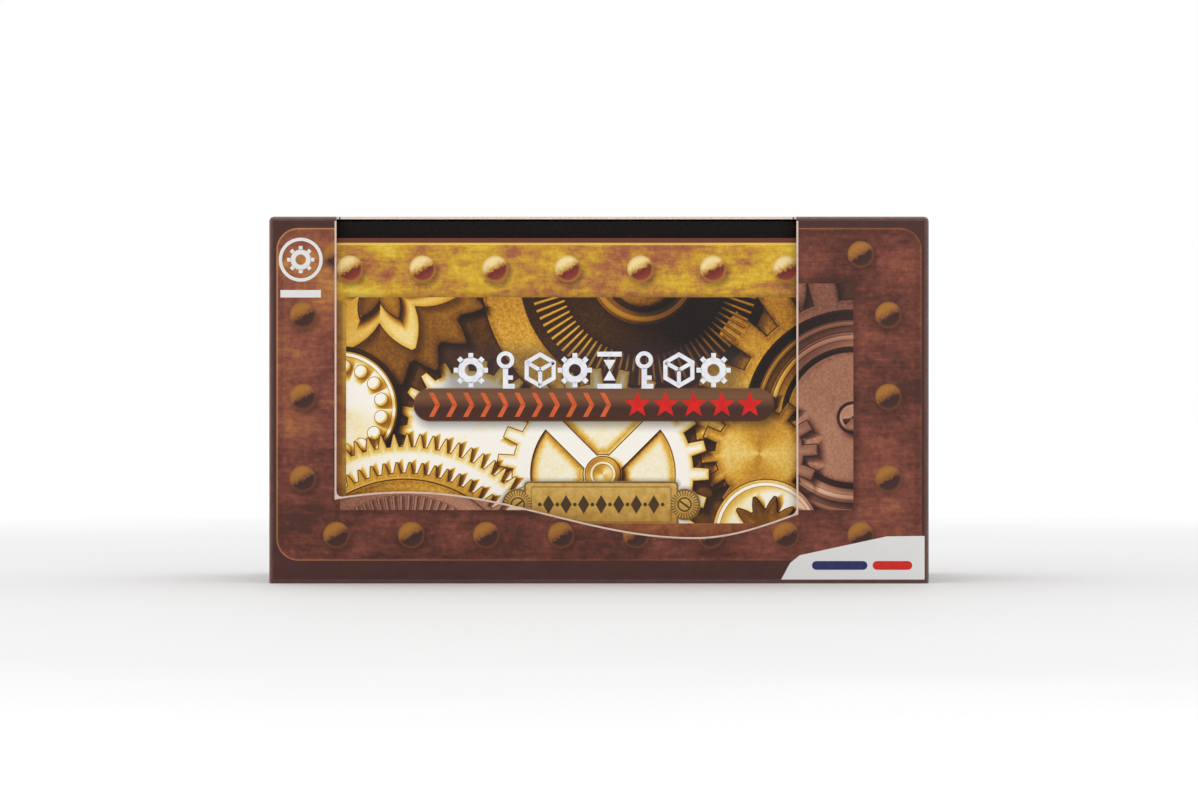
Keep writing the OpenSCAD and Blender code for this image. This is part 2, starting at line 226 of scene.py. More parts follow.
@dataclass(frozen=True)
class Hub:
    """A place seen from a wheel's middle: distance, and the share of a full turn from the right."""

    r: Field
    turn: Field

    def fold(self, count: int, turn: float = 0.0) -> Spot:
        """The same place seen from the middle with the nearest of count spokes to its right.

        Args:
            count: Number of spokes.
            turn: Share of a spoke by which they are turned.

        Returns:
            The place, with that spoke along its x.
        """
        canvas = self.r.canvas
        local = ((self.turn * float(count) + turn).part() - 0.5) * (2 * math.pi / count)
        return Spot(self.r * canvas.math("COSINE", local), self.r * canvas.math("SINE", local))

    def teeth(self, root: float, tip: float, count: int, turn: float, share: float, lean: float) -> Field:
        """Distance outside a toothed disc.

        Args:
            root: Radius at the foot of the teeth.
            tip: Radius at their tips.
            count: Number of teeth.
            turn: Share of a tooth by which the disc is turned.
            share: Part of the pitch that a tooth fills, half-way up.
            lean: How much each flank leans in, for a length of 1 up the tooth.

        Returns:
            The distance, negative inside.
        """
        if tip == root:
            return self.r - root
        middle = (root + tip) / 2
        half = math.pi * middle / count * share
        across = ((self.turn * float(count) + turn).part() - 0.5).size() * (2 * math.pi * middle / count)
        flank = across - half + (self.r - middle) * lean
        return (self.r - root).least((self.r - tip).most(flank))


class Sheet:
    """A sheet of nodes with the drawing tools that finishes and stencils share."""

    tree: bpy.types.NodeTree
    place: bpy.types.NodeSocket

    def node(self, kind: str, **settings: object) -> bpy.types.Node:
        """Adds a node and sets its properties.

        Args:
            kind: Its type.
            settings: Its properties, by name.

        Returns:
            The node.
        """
        made = self.tree.nodes.new(kind)
        for name, value in settings.items():
            setattr(made, name, value)
        return made

    def feed(self, socket: bpy.types.NodeSocket, value: Number) -> None:
        """Links a field to a socket, or sets the socket to a plain number.

        Args:
            socket: The socket to fill.
            value: The field or number.
        """
        if isinstance(value, Field):
            self.tree.links.new(value.socket, socket)
        else:
            socket.default_value = value

    def math(self, operation: str, *values: Number) -> Field:
        """Works one sum out with a Math node.

        Args:
            operation: The sum.
            values: What goes into it.

        Returns:
            Its result.
        """
        made = self.node("ShaderNodeMath", operation=operation)
        for socket, value in zip(made.inputs, values):
            self.feed(socket, value)
        return Field(self, made.outputs[0])

    def noise(self, per_mm: float, detail: float = 3.0, rough: float = 0.55, seed: float = 0.0,
              stretch: tuple[float, float, float] = (1.0, 1.0, 1.0)) -> Field:
        """Cloudy noise round 0.5.

        Args:
            per_mm: Clouds in a millimetre.
            detail: How many finer layers it has.
            rough: Strength of the finer layers.
            seed: Shift that gives another pattern.
            stretch: Scale along each axis.

        Returns:
            The noise.
        """
        turn = self.node("ShaderNodeMapping")
        turn.inputs["Location"].default_value = (seed, seed * 1.7, seed * 0.6)
        turn.inputs["Scale"].default_value = stretch
        self.tree.links.new(self.place, turn.inputs["Vector"])
        made = self.node("ShaderNodeTexNoise")
        made.inputs["Scale"].default_value = per_mm
        made.inputs["Detail"].default_value = detail
        made.inputs["Roughness"].default_value = rough
        self.tree.links.new(turn.outputs[0], made.inputs["Vector"])
        return Field(self, made.outputs[0])

    def blend(self, share: Number, first: Number, second: Number) -> Field:
        """Goes from the first number to the second as share goes from 0 to 1.

        Args:
            share: How far to go.
            first: Number at 0.
            second: Number at 1.

        Returns:
            The number between them.
        """
        made = self.node("ShaderNodeMix", data_type="FLOAT")
        for socket, value in zip(made.inputs[:1] + made.inputs[2:4], (share, first, second)):
            self.feed(socket, value)
        return Field(self, made.outputs[0])

    def ramp(self, amount: Field, stops: Sequence[Stop]) -> bpy.types.NodeSocket:
        """A colour for each amount, from stops of an amount and a hex code.

        Args:
            amount: The amount at each point.
            stops: The stops, in rising order.

        Returns:
            The colour.
        """
        made = self.node("ShaderNodeValToRGB")
        elements = made.color_ramp.elements
        while len(elements) < len(stops):
            elements.new(0.5)
        for element, (position, code) in zip(elements, stops):
            element.position = position
            element.color = ink(code)
        self.feed(made.inputs[0], amount)
        return made.outputs["Color"]

    def over(self, share: Number, under: bpy.types.NodeSocket, colour: Union[str, bpy.types.NodeSocket],
             mode: str = "MIX") -> bpy.types.NodeSocket:
        """Lays a colour over another.

        Args:
            share: How much of it covers, from 0 to 1.
            under: The colour below.
            colour: The colour on top, a hex code or a socket.
            mode: How the two combine.

        Returns:
            The colour that results.
        """
        made = self.node("ShaderNodeMix", data_type="RGBA", blend_type=mode)
        self.feed(made.inputs[0], share)
        self.tree.links.new(under, made.inputs[6])
        if isinstance(colour, str):
            made.inputs[7].default_value = ink(colour)
        else:
            self.tree.links.new(colour, made.inputs[7])
        return made.outputs[2]


class Canvas(Sheet):
    """The node sheet of one finish."""

    def __init__(self, name: str) -> None:
        """Starts an empty material of that name.

        Args:
            name: The material's name.
        """
        self.material = bpy.data.materials.new(name)
        self.material.use_nodes = True
        self.tree = self.material.node_tree
        self.tree.nodes.clear()
        self.shader = self.node("ShaderNodeBsdfPrincipled")
        output = self.node("ShaderNodeOutputMaterial")
        self.tree.links.new(self.shader.outputs["BSDF"], output.inputs["Surface"])
        coords = self.node("ShaderNodeTexCoord")
        scale = self.node("ShaderNodeMapping")
        scale.inputs["Scale"].default_value = (1 / MM, 1 / MM, 1 / MM)
        self.tree.links.new(coords.outputs["Object"], scale.inputs["Vector"])
        self.place = scale.outputs["Vector"]
        split = self.node("ShaderNodeSeparateXYZ")
        self.tree.links.new(self.place, split.inputs[0])
        self.x, self.y, self.z = (Field(self, split.outputs[axis]) for axis in "XYZ")

    def dress(self, colour: Union[str, bpy.types.NodeSocket], rough: Number, height: Field | None = None,
              height_mm: float = 0.02, **plain: float) -> bpy.types.Material:
        """Finishes the material.

        Args:
            colour: Its colour, a hex code or a socket.
            rough: Its roughness.
            height: Relief for the bump, from 0 to 1.
            height_mm: Depth of that relief.
            plain: Other inputs of the shader, by name with spaces as underscores.

        Returns:
            The material.
        """
        if isinstance(colour, str):
            self.shader.inputs["Base Color"].default_value = ink(colour)
        else:
            self.tree.links.new(colour, self.shader.inputs["Base Color"])
        self.feed(self.shader.inputs["Roughness"], rough)
        for name, value in plain.items():
            self.shader.inputs[name.replace("_", " ")].default_value = value
        if height is not None:
            bump = self.node("ShaderNodeBump")
            bump.inputs["Distance"].default_value = height_mm * MM
            self.feed(bump.inputs["Height"], height)
            self.tree.links.new(bump.outputs[0], self.shader.inputs["Normal"])
        return self.material


class Stencil(Sheet):
    """Part of a drawing, kept as a node group.

    It takes a place and a tone, and gives the tone painted over.
    """

    def __init__(self, name: str) -> None:
        """Starts an empty stencil of that name.

        Args:
            name: The node group's name.
        """
        self.tree = bpy.data.node_groups.new(name, "ShaderNodeTree")
        sockets = self.tree.interface
        for socket in ("Right", "Up", "Tone", "Grain"):
            sockets.new_socket(name=socket, in_out="INPUT", socket_type="NodeSocketFloat")
        sockets.new_socket(name="Tone", in_out="OUTPUT", socket_type="NodeSocketFloat")
        entry = self.node("NodeGroupInput")
        self.spot = Spot(Field(self, entry.outputs["Right"]), Field(self, entry.outputs["Up"]))
        self.under = Field(self, entry.outputs["Tone"])
        self.grain = Field(self, entry.outputs["Grain"])

    def close(self, tone: Field) -> None:
        """Gives the stencil the tone that comes out of it."""
        self.feed(self.node("NodeGroupOutput").inputs["Tone"], tone)

    def use(self, sheet: Sheet, spot: Spot, under: Number, grain: Number = 0.0) -> Field:
        """Uses the stencil on a sheet.

        Args:
            sheet: The sheet to paint on.
            spot: Where a point lies on the drawing.
            under: The tone below.
            grain: Unevenness of the tone, round 0.

        Returns:
            The tone painted over.
        """
        made = sheet.node("ShaderNodeGroup", node_tree=self.tree)
        for name, value in (("Right", spot.x), ("Up", spot.y), ("Tone", under), ("Grain", grain)):
            sheet.feed(made.inputs[name], value)
        return Field(sheet, made.outputs["Tone"])


@dataclass(frozen=True)
class Layer:
    """How one shape of a picture is painted.

    Tone runs from 0, dark, to 1, light. Burn darkens the shape towards its edge over burn_mm. Lift
    lights the edges that face up and left. Line is the dark outline, in millimetres. Shadow is the
    strength of the shadow that the shape throws down and to the right.
    """

    tone: float = 0.8
    burn: float = 0.3
    burn_mm: float = 1.6
    lift: float = 0.18
    rim_mm: float = 0.5
    line_mm: float = 0.22
    shadow: float = 0.55


Shape = tuple[Field, Field]


class Picture:
    """A picture in one tone, painted from the back to the front."""

    STEP = 0.45
    REACH = 3.2

    def __init__(self, canvas: Sheet, spot: Spot, ground: Field, grain: Field) -> None:
        """Starts from a ground tone.

        Args:
            canvas: The node sheet.
            spot: Where a point lies on the picture.
            ground: Tone of what nothing covers.
            grain: Unevenness of the tone, round 0.
        """
        self.canvas = canvas
        self.grain = grain
        self.here = spot
        step = self.STEP / math.sqrt(2)
        self.lit = spot.moved(step, -step)
        self.tone = ground

    def wheel(self, x: float, y: float) -> Callable[[Callable[[Hub], Field]], Shape]:
        """Gives a maker of shapes that are drawn round one middle.

        Args:
            x: Where the middle lies, to the right.
            y: Where it lies, upwards.

        Returns:
            The maker, which takes a drawing and gives its shape.
        """
        hubs = []
        for spot in (self.here, self.lit):
            seen = spot.moved(x, y)
            angle = self.canvas.math("ARCTAN2", seen.y, seen.x)
            hubs.append(Hub(seen.length(), angle / (2 * math.pi)))
        return lambda draw: (draw(hubs[0]), draw(hubs[1]))

    def lay(self, shape: Shape, look: Layer, sheen: Field | None = None) -> Field:
        """Paints a shape over what is there.

        Args:
            shape: Its distance here and towards the light.
            look: How it is painted.
            sheen: Tone that varies over it, round 0.

        Returns:
            How far each point is covered.
        """
        here, lit = shape
        slope = lit - here
        body = here.rise(-0.08, 0.08, 1.0, 0.0)
        edge = (slope * (1 / self.STEP)).most(-1.0).least(1.0)
        tone = here.rise(-look.burn_mm, 0.1, look.tone, look.tone - look.burn)
        tone = tone + edge * here.rise(-look.rim_mm * 1.6, -look.rim_mm * 0.3, 0.0, look.lift)
        if sheen is not None:
            tone = tone + sheen
        tone = tone * here.rise(-look.line_mm, -look.line_mm * 0.3, 1.0, 0.25)
        shade = (here + slope * self.REACH).rise(-1.2, 1.4, look.shadow, 0.0)
        self.tone = self.canvas.blend(body, self.tone * (1.0 - shade), tone)
        return body


@dataclass(frozen=True)
class Wheel:
    """One printed gear wheel.

    Sizes are in millimetres. Bands are raised rings, each a radius and a width, and studs are a
    ring of small bosses: how many, on what radius and how large. Windows are the openings between
    arms: how many, from what radius to what radius, and how wide the arms are.
    """

    x: float
    y: float
    root: float
    tip: float
    teeth: int
    turn: float = 0.0
    share: float = 0.52
    lean: float = 0.25
    look: Layer = Layer()
    gloss: float = 0.1
    grit: float = 0.22
    bands: tuple[tuple[float, float], ...] = ()
    studs: tuple[int, float, float] | None = None
    windows: tuple[int, float, float, float, float] | None = None

    @classmethod
    def disc(cls, x: float, y: float, radius: float, look: Layer, **more: object) -> Wheel:
        """A wheel without teeth."""
        return cls(x, y, radius, radius, 1, look=look, **more)

    def stencil(self) -> Stencil:
        """Makes a stencil of the wheel.

        Returns:
            The stencil.
        """
        stencil = Stencil(f"wheel_{self.teeth}_teeth")
        picture = Picture(stencil, stencil.spot, stencil.under, stencil.grain)
        self.paint(picture)
        stencil.close(picture.tone)
        return stencil

    def paint(self, picture: Picture) -> None:
        """Paints the wheel on a picture.

        Args:
            picture: The picture to paint on.
        """
        make = picture.wheel(self.x, self.y)
        sheen = make(lambda hub: (hub.turn * (4 * math.pi) + self.turn * 5).wave() * self.gloss)[0]
        cut = (self.root, self.tip, self.teeth, self.turn, self.share, self.lean)
        outline = make(lambda hub: hub.teeth(*cut))
        picture.lay(outline, self.look, sheen + picture.grain * self.grit)
        if self.windows is not None:
            count, low, high, arm, turn = self.windows

            def opening(hub: Hub) -> Field:
                """Distance outside the openings between the arms."""
                arm_side = arm / 2 - hub.fold(count, turn).y.size()
                return (low - hub.r).most(hub.r - high).most(arm_side)

            hole = make(opening)
            deep = Layer(self.look.tone - 0.14, 0.4, 2.6, -0.3, 0.6, 0.36, 0.0)
            picture.lay(hole, deep, picture.grain * 0.3)
        for radius, width in self.bands:
            ring = make(lambda hub: (hub.r - radius).size() - width / 2)
            raised = Layer(self.look.tone + 0.06, 0.1, width / 2, 0.25, width / 3, 0.12, 0.3)
            picture.lay(ring, raised, sheen)
        if self.studs is not None:
            count, ring_r, stud_r = self.studs
            boss = make(lambda hub: hub.fold(count).moved(ring_r, 0.0).length() - stud_r)
            domed = Layer(self.look.tone + 0.12, 0.35, stud_r * 0.8, 0.3, stud_r * 0.6, 0.2, 0.6)
            picture.lay(boss, domed)


class Gearwork:
    """The printed picture of gear wheels that runs over the tray and on over the cover."""

    SHADE = Layer(0.09, 0.03, 2.0, 0.1, 0.5, 0.2, 0.5)
    FIN = Layer(0.5, 0.1, 0.5, 0.2, 0.3, 0.1, 0.2)
    GRIT = Layer(0.54, 0.2, 1.8, 0.2, 0.6, 0.4, 0.7)
    PALE = Layer(1.0, 0.36, 2.2, 0.12, 0.45, 0.3, 0.75)
    GOLD = Layer(0.74, 0.3, 2.4, 0.2, 0.5, 0.32, 0.7)
    AMBER = Layer(0.42, 0.12, 3.0, 0.14, 0.6, 0.4, 0.8)
    DIM = Layer(0.4, 0.14, 1.6, 0.2, 0.6, 0.3, 0.5)
    TARNISHED = Layer(0.6, 0.26, 2.4, 0.2, 0.5, 0.4, 0.8)
    WHEELS = (
        Wheel.disc(10.3, 71.3, 37.5, GRIT, grit=0.7),
        Wheel.disc(10.3, 71.3, 28.6, SHADE),
        Wheel(57.7, 37.7, 27.0, 36.0, 18, 0.36, 0.62, 0.06, GRIT, grit=0.6),
        Wheel(10.3, 71.3, 18.8, 26.3, 92, 0.1, 0.42, 0.0, FIN, 0.1),
        Wheel.disc(10.3, 71.3, 19.4, SHADE),
        Wheel.disc(10.3, 71.3, 12.8, DIM, grit=0.4, bands=((11.3, 1.6),)),
        Wheel.disc(10.3, 71.3, 9.6, SHADE),
        Wheel.disc(10.3, 71.3, 8.6, DIM, grit=0.5),
        Wheel(-29.5, 34.0, 14.5, 17.2, 22, 0.7, 0.5, 0.25, PALE),
        Wheel(-50.0, 69.0, 20.4, 24.6, 17, 0.2, 0.46, 0.72, AMBER, 0.06, 0.3),
        Wheel(-50.0, 69.5, 10.6, 18.2, 7, 0.75, 0.52, 0.78, Layer(0.8, 0.14, 2.0, 0.1, 0.5, 0.3, 0.4)),
        Wheel(-50.0, 69.5, 4.6, 11.2, 7, 0.75, 0.52, 0.7, AMBER),
        Wheel.disc(57.7, 37.7, 24.6, SHADE),
        Wheel.disc(57.7, 37.7, 22.4, AMBER, bands=((21.3, 1.1),)),
        Wheel.disc(57.7, 37.7, 19.6, GOLD, gloss=0.25, bands=((18.2, 1.2),)),
        Wheel.disc(57.7, 37.7, 16.2, SHADE),
        Wheel.disc(57.7, 37.7, 15.0, Layer(0.64, 0.24, 1.6, 0.2, 0.5, 0.3, 0.7), gloss=0.04, grit=0.7),
        Wheel.disc(57.7, 37.7, 3.7, SHADE),
        Wheel.disc(57.7, 37.7, 3.1, Layer(0.86, 0.3, 1.2, 0.3, 0.6, 0.2, 0.6)),
        Wheel(57.7, 37.7, 0.3, 2.4, 2, 0.35, 0.2, 0.0, SHADE),
        Wheel(36.5, 29.5, 10.2, 13.4, 14, 0.35, 0.56, 0.12, TARNISHED, grit=0.35),
        Wheel.disc(-59.0, 39.8, 14.2, SHADE),
        Wheel.disc(-59.0, 39.8, 13.2, PALE, bands=((12.3, 0.9),), studs=(15, 9.6, 1.6)),
        Wheel(0.9, 24.8, 20.8, 24.3, 23, 0.5, 0.5, 0.14, PALE, 0.06, windows=(4, 4.4, 16.6, 4.0, 0.0)),
        Wheel.disc(0.9, 24.8, 4.2, GOLD, bands=((2.6, 0.7),)),
        Wheel(-44.3, -3.6, 34.8, 37.7, 78, 0.2, 0.46, 0.3, PALE, 0.05),
        Wheel(-44.3, -3.6, 28.8, 31.2, 66, 0.4, 0.44, 0.3, Layer(0.86, 0.34, 2.4, 0.18, 0.5, 0.3, 0.8)),
        Wheel.disc(-44.3, -3.6, 27.4, GRIT, grit=0.6),
        Wheel(-44.3, -3.6, 19.0, 23.8, 84, 0.1, 0.46, 0.0, Layer(0.66, 0.16, 0.8, 0.2, 0.3, 0.2, 0.5)),
        Wheel.disc(38.0, 11.5, 12.2, PALE, bands=((11.0, 0.9),)),
        Wheel(38.0, 11.5, 5.6, 8.6, 11, 0.2, 0.5, 0.5, AMBER),
    )

    def __init__(self) -> None:
        """Draws the wheels from the back to the front, and a glow over them."""
        self.stencil = Stencil("gearwork")
        sheet, spot = self.stencil, self.stencil.spot
        tone = sheet.under
        for wheel in self.WHEELS:
            tone = wheel.stencil().use(sheet, spot, tone, sheet.grain)
        glow = spot.moved(-6.0, 26.0)
        lamp = Spot(glow.x * 0.45, glow.y).length().rise(8.0, 46.0, 1.08, 0.84)
        self.stencil.close(tone * lamp + sheet.grain * 0.08)

    def tone(self, canvas: Canvas, spot: Spot) -> Field:
        """The picture's tone, from 0 to 1, at a spot on the front of the pack.

        Args:
            canvas: The node sheet.
            spot: Where a point lies on the front.

        Returns:
            The tone.
        """
        clouds, specks = canvas.noise(0.35, 4.0, 0.65, 3.0), canvas.noise(2.2, 3.0, 0.7, 9.0)
        ground = clouds * 0.25 + specks * 0.16 + 0.02
        grain = canvas.noise(1.9, 4.0, 0.75, 11.0) - 0.5
        return self.stencil.use(canvas, spot, ground, grain)


class Palette(Enum):
    """The inks that a drawing's tones are printed in, from dark to light."""

    GILT = ((0.0, "160e0a"), (0.16, "3e2412"), (0.32, "7e4c18"), (0.47, "b67c22"), (0.62, "dda638"),
            (0.76, "f2d072"), (0.9, "fcefc6"), (1.0, "fffaf0"))
    COPPER = ((0.0, "1e1210"), (0.16, "45281f"), (0.34, "774a3a"), (0.52, "9c6850"), (0.74, "b98468"),
              (1.0, "e2bc9c"))
    GILT_PLATE = ((0.18, "94503a"), (0.32, "a8643c"), (0.44, "b98036"), (0.54, "c6952e"), (0.66, "d6aa2a"),
                  (0.82, "e4c24a"))
    RUST_PLATE = ((0.16, "4e2a22"), (0.36, "6e3a2c"), (0.5, "834738"), (0.62, "92543a"), (0.76, "a5663a"),
                  (0.9, "b8803e"))
    RUST_FOOT = ((0.16, "5a2e1c"), (0.4, "84482a"), (0.6, "9c5c34"), (0.85, "b27844"))


@dataclass(frozen=True)
class Plate:
    """Printed sheet metal: its inks, and the inks of its rivets from light to dark."""

    inks: Palette
    rivet_light: str
    rivet_mid: str
    rivet_dark: str
    rivet_low: str
    seed: float
    contrast: float = 1.7
    ground: float = 0.5
    rivet_r: float = 3.05

    def colour(self, canvas: Canvas, lift: Number = 0.0) -> bpy.types.NodeSocket:
        """Mottled metal, with lift added to its tone.

        Args:
            canvas: The node sheet.
            lift: What is added to the tone.

        Returns:
            The colour.
        """
        clouds = canvas.noise(0.055, 5.0, 0.62, self.seed, (1.0, 1.0, 1.6))
        specks = canvas.noise(0.7, 4.0, 0.75, self.seed + 4)
        scratch = canvas.noise(0.5, 3.0, 0.7, self.seed + 8, (0.35, 1.0, 2.2))
        tone = (clouds - 0.5) * self.contrast + (specks - 0.5) * 0.7 + (scratch - 0.5) * 0.5
        tone = tone + self.ground + lift
        return canvas.ramp(tone, self.inks.value)

    def rivets(
        self, canvas: Canvas, under: bpy.types.NodeSocket, spots: Sequence[Spot]
    ) -> bpy.types.NodeSocket:
        """Prints a domed rivet at each row of spots.

        Args:
            canvas: The node sheet.
            under: Colour below.
            spots: Places seen from the nearest rivet.

        Returns:
            The colour with the rivets on it.
        """
        ragged = canvas.noise(1.3, 4.0, 0.75, self.seed + 2) - 0.5
        size = 1 / self.rivet_r
        inks = (self.rivet_low, self.rivet_dark, self.rivet_mid, self.rivet_light)
        stops = tuple(zip((0.0, 0.38, 0.54, 0.86), inks))
        for spot in spots:
            length = spot.length()
            shade = spot.moved(0.5, -0.9).length().rise(self.rivet_r * 0.8, self.rivet_r * 1.35, 0.5, 0.0)
            under = canvas.over(shade, under, "3a1c14")
            facing = (spot.y * 0.88 - spot.x * 0.48) * size + ragged * 0.9
            dome = canvas.ramp(facing.rise(-0.9, 0.9), stops)
            rim = length.rise(self.rivet_r * 0.72, self.rivet_r, 0.0, 0.55)
            dome = canvas.over(rim, dome, self.rivet_mid)
            glint = spot.moved(-0.9, 1.2).length().rise(0.3, 1.6, 0.3, 0.0)
            dome = canvas.over(glint, dome, self.rivet_light)
            covered = length.rise(self.rivet_r - 0.22, self.rivet_r + 0.1, 1.0, 0.0)
            under = canvas.over(covered, under, dome)
        return under


RUST = Plate(Palette.RUST_PLATE, "a8702e", "85502c", "3c2422", "46281f", 21.0, contrast=1.25, ground=0.41)
GILT = Plate(Palette.GILT_PLATE, "f4dc9a", "c8923c", "6c2622", "8c3a2a", 43.0)


# ---------------------------------------------------------------------------------------------------
# Finishes
# ---------------------------------------------------------------------------------------------------


class Side(Enum):
    """Which way a printed panel faces, with the two axes that run along it to the right and up."""

    FRONT = ("x", "z", 1)
    BACK = ("x", "z", -1)
    LEFT = ("y", "z", -1)
    RIGHT = ("y", "z", 1)
    TOP = ("x", "y", 1)

    def spot(self, canvas: Canvas) -> Spot:
        """Where a point lies on the panel, looking straight at it."""
        right, up, sign = self.value
        return Spot(getattr(canvas, right) * float(sign), getattr(canvas, up))


def paper_sheen(canvas: Canvas) -> Field:
    """The uneven gloss of coated board."""
    return canvas.noise(0.12, 3.0, 0.6, 2.0).rise(0.3, 0.7, 0.36, 0.46)


@dataclass(frozen=True)
class CoverPanelPrint:
    """The rust print of one of the cover's panels, within a plain border."""

    side: Side
    half_w: float
    low: float
    high: float
    picture: tuple[float, float, float, float] | None = None
    rows: tuple[float, ...] = ()
    row_start: float = 0.0
    row_pitch: float = 17.03
    row_count: int = 8
    columns: tuple[float, ...] = ()
    column_start: float = 23.8
    column_pitch: float = 18.6
    column_count: int = 3
    window: Window | None = None

    BORDER = "4e2e28"

    def material(self, name: str, gearwork: Gearwork) -> bpy.types.Material:
        """Builds the printed finish, with the picture where it has one.

        Args:
            name: The material's name.
            gearwork: The picture of gear wheels.

        Returns:
            The material.
        """
        canvas = Canvas(name)
        spot = self.side.spot(canvas)
        middle = spot.moved(0.0, (self.low + self.high) / 2)
        plate = middle.slab(self.half_w, (self.high - self.low) / 2, 5.0)
        corner = Spot(spot.x + self.half_w, spot.y - self.high).length()
        lift = corner.rise(5.0, 70.0, 0.3, -0.06)
        colour = RUST.colour(canvas, lift)
        edge_light = (spot.y - spot.x * 0.8).rise(-20.0, 120.0, 0.04, 0.8)
        colour = canvas.over(plate.size().rise(0.1, 0.4, 1.0, 0.0) * edge_light, colour, "c88c5a")
        colour = canvas.over((plate + 1.0).size().rise(0.2, 0.9, 0.25, 0.0), colour, "3c1e18")
        spots = [
            spot.moved(self.row_start, height).along(self.row_pitch, self.row_count) for height in self.rows
        ]
        for across in self.columns:
            seen = spot.moved(across, self.column_start)
            folded = Spot(seen.y, seen.x).along(self.column_pitch, self.column_count)
            spots.append(Spot(folded.y, folded.x))
        colour = RUST.rivets(canvas, colour, spots)
        if self.picture is not None:
            left, right, bottom, top = self.picture
            tone = gearwork.tone(canvas, spot)
            art = canvas.ramp(tone, Palette.COPPER.value)
            window = spot.moved((left + right) / 2, (bottom + top) / 2)
            frame_edge = window.slab((right - left) / 2, (top - bottom) / 2, 0.4)
            colour = canvas.over(frame_edge.rise(-0.05, 2.2, 0.5, 0.0), colour, "34170f")
            colour = canvas.over(frame_edge.rise(-0.06, 0.06, 1.0, 0.0), colour, art)
        border = canvas.ramp(canvas.noise(0.3, 3.0, 0.6, 6.0), ((0.3, "462824"), (0.7, self.BORDER)))
        colour = canvas.over(plate.rise(-0.08, 0.08), colour, border)
        if self.window is not None:
            bare = self.window.outside(canvas, spot).rise(0.3, 0.48, 1.0, 0.0)
            wear_and_fold_highlight = canvas.noise(0.6, 4.0, 0.7, 3.0).rise(0.3, 0.5, 0.75, 1.0)
            colour = canvas.over(bare * wear_and_fold_highlight, colour, "e0c4b4")
        fibre = canvas.noise(3.0, 4.0, 0.6, 1.0)
        return canvas.dress(colour, paper_sheen(canvas), fibre, 0.006, Specular_IOR_Level=0.25)


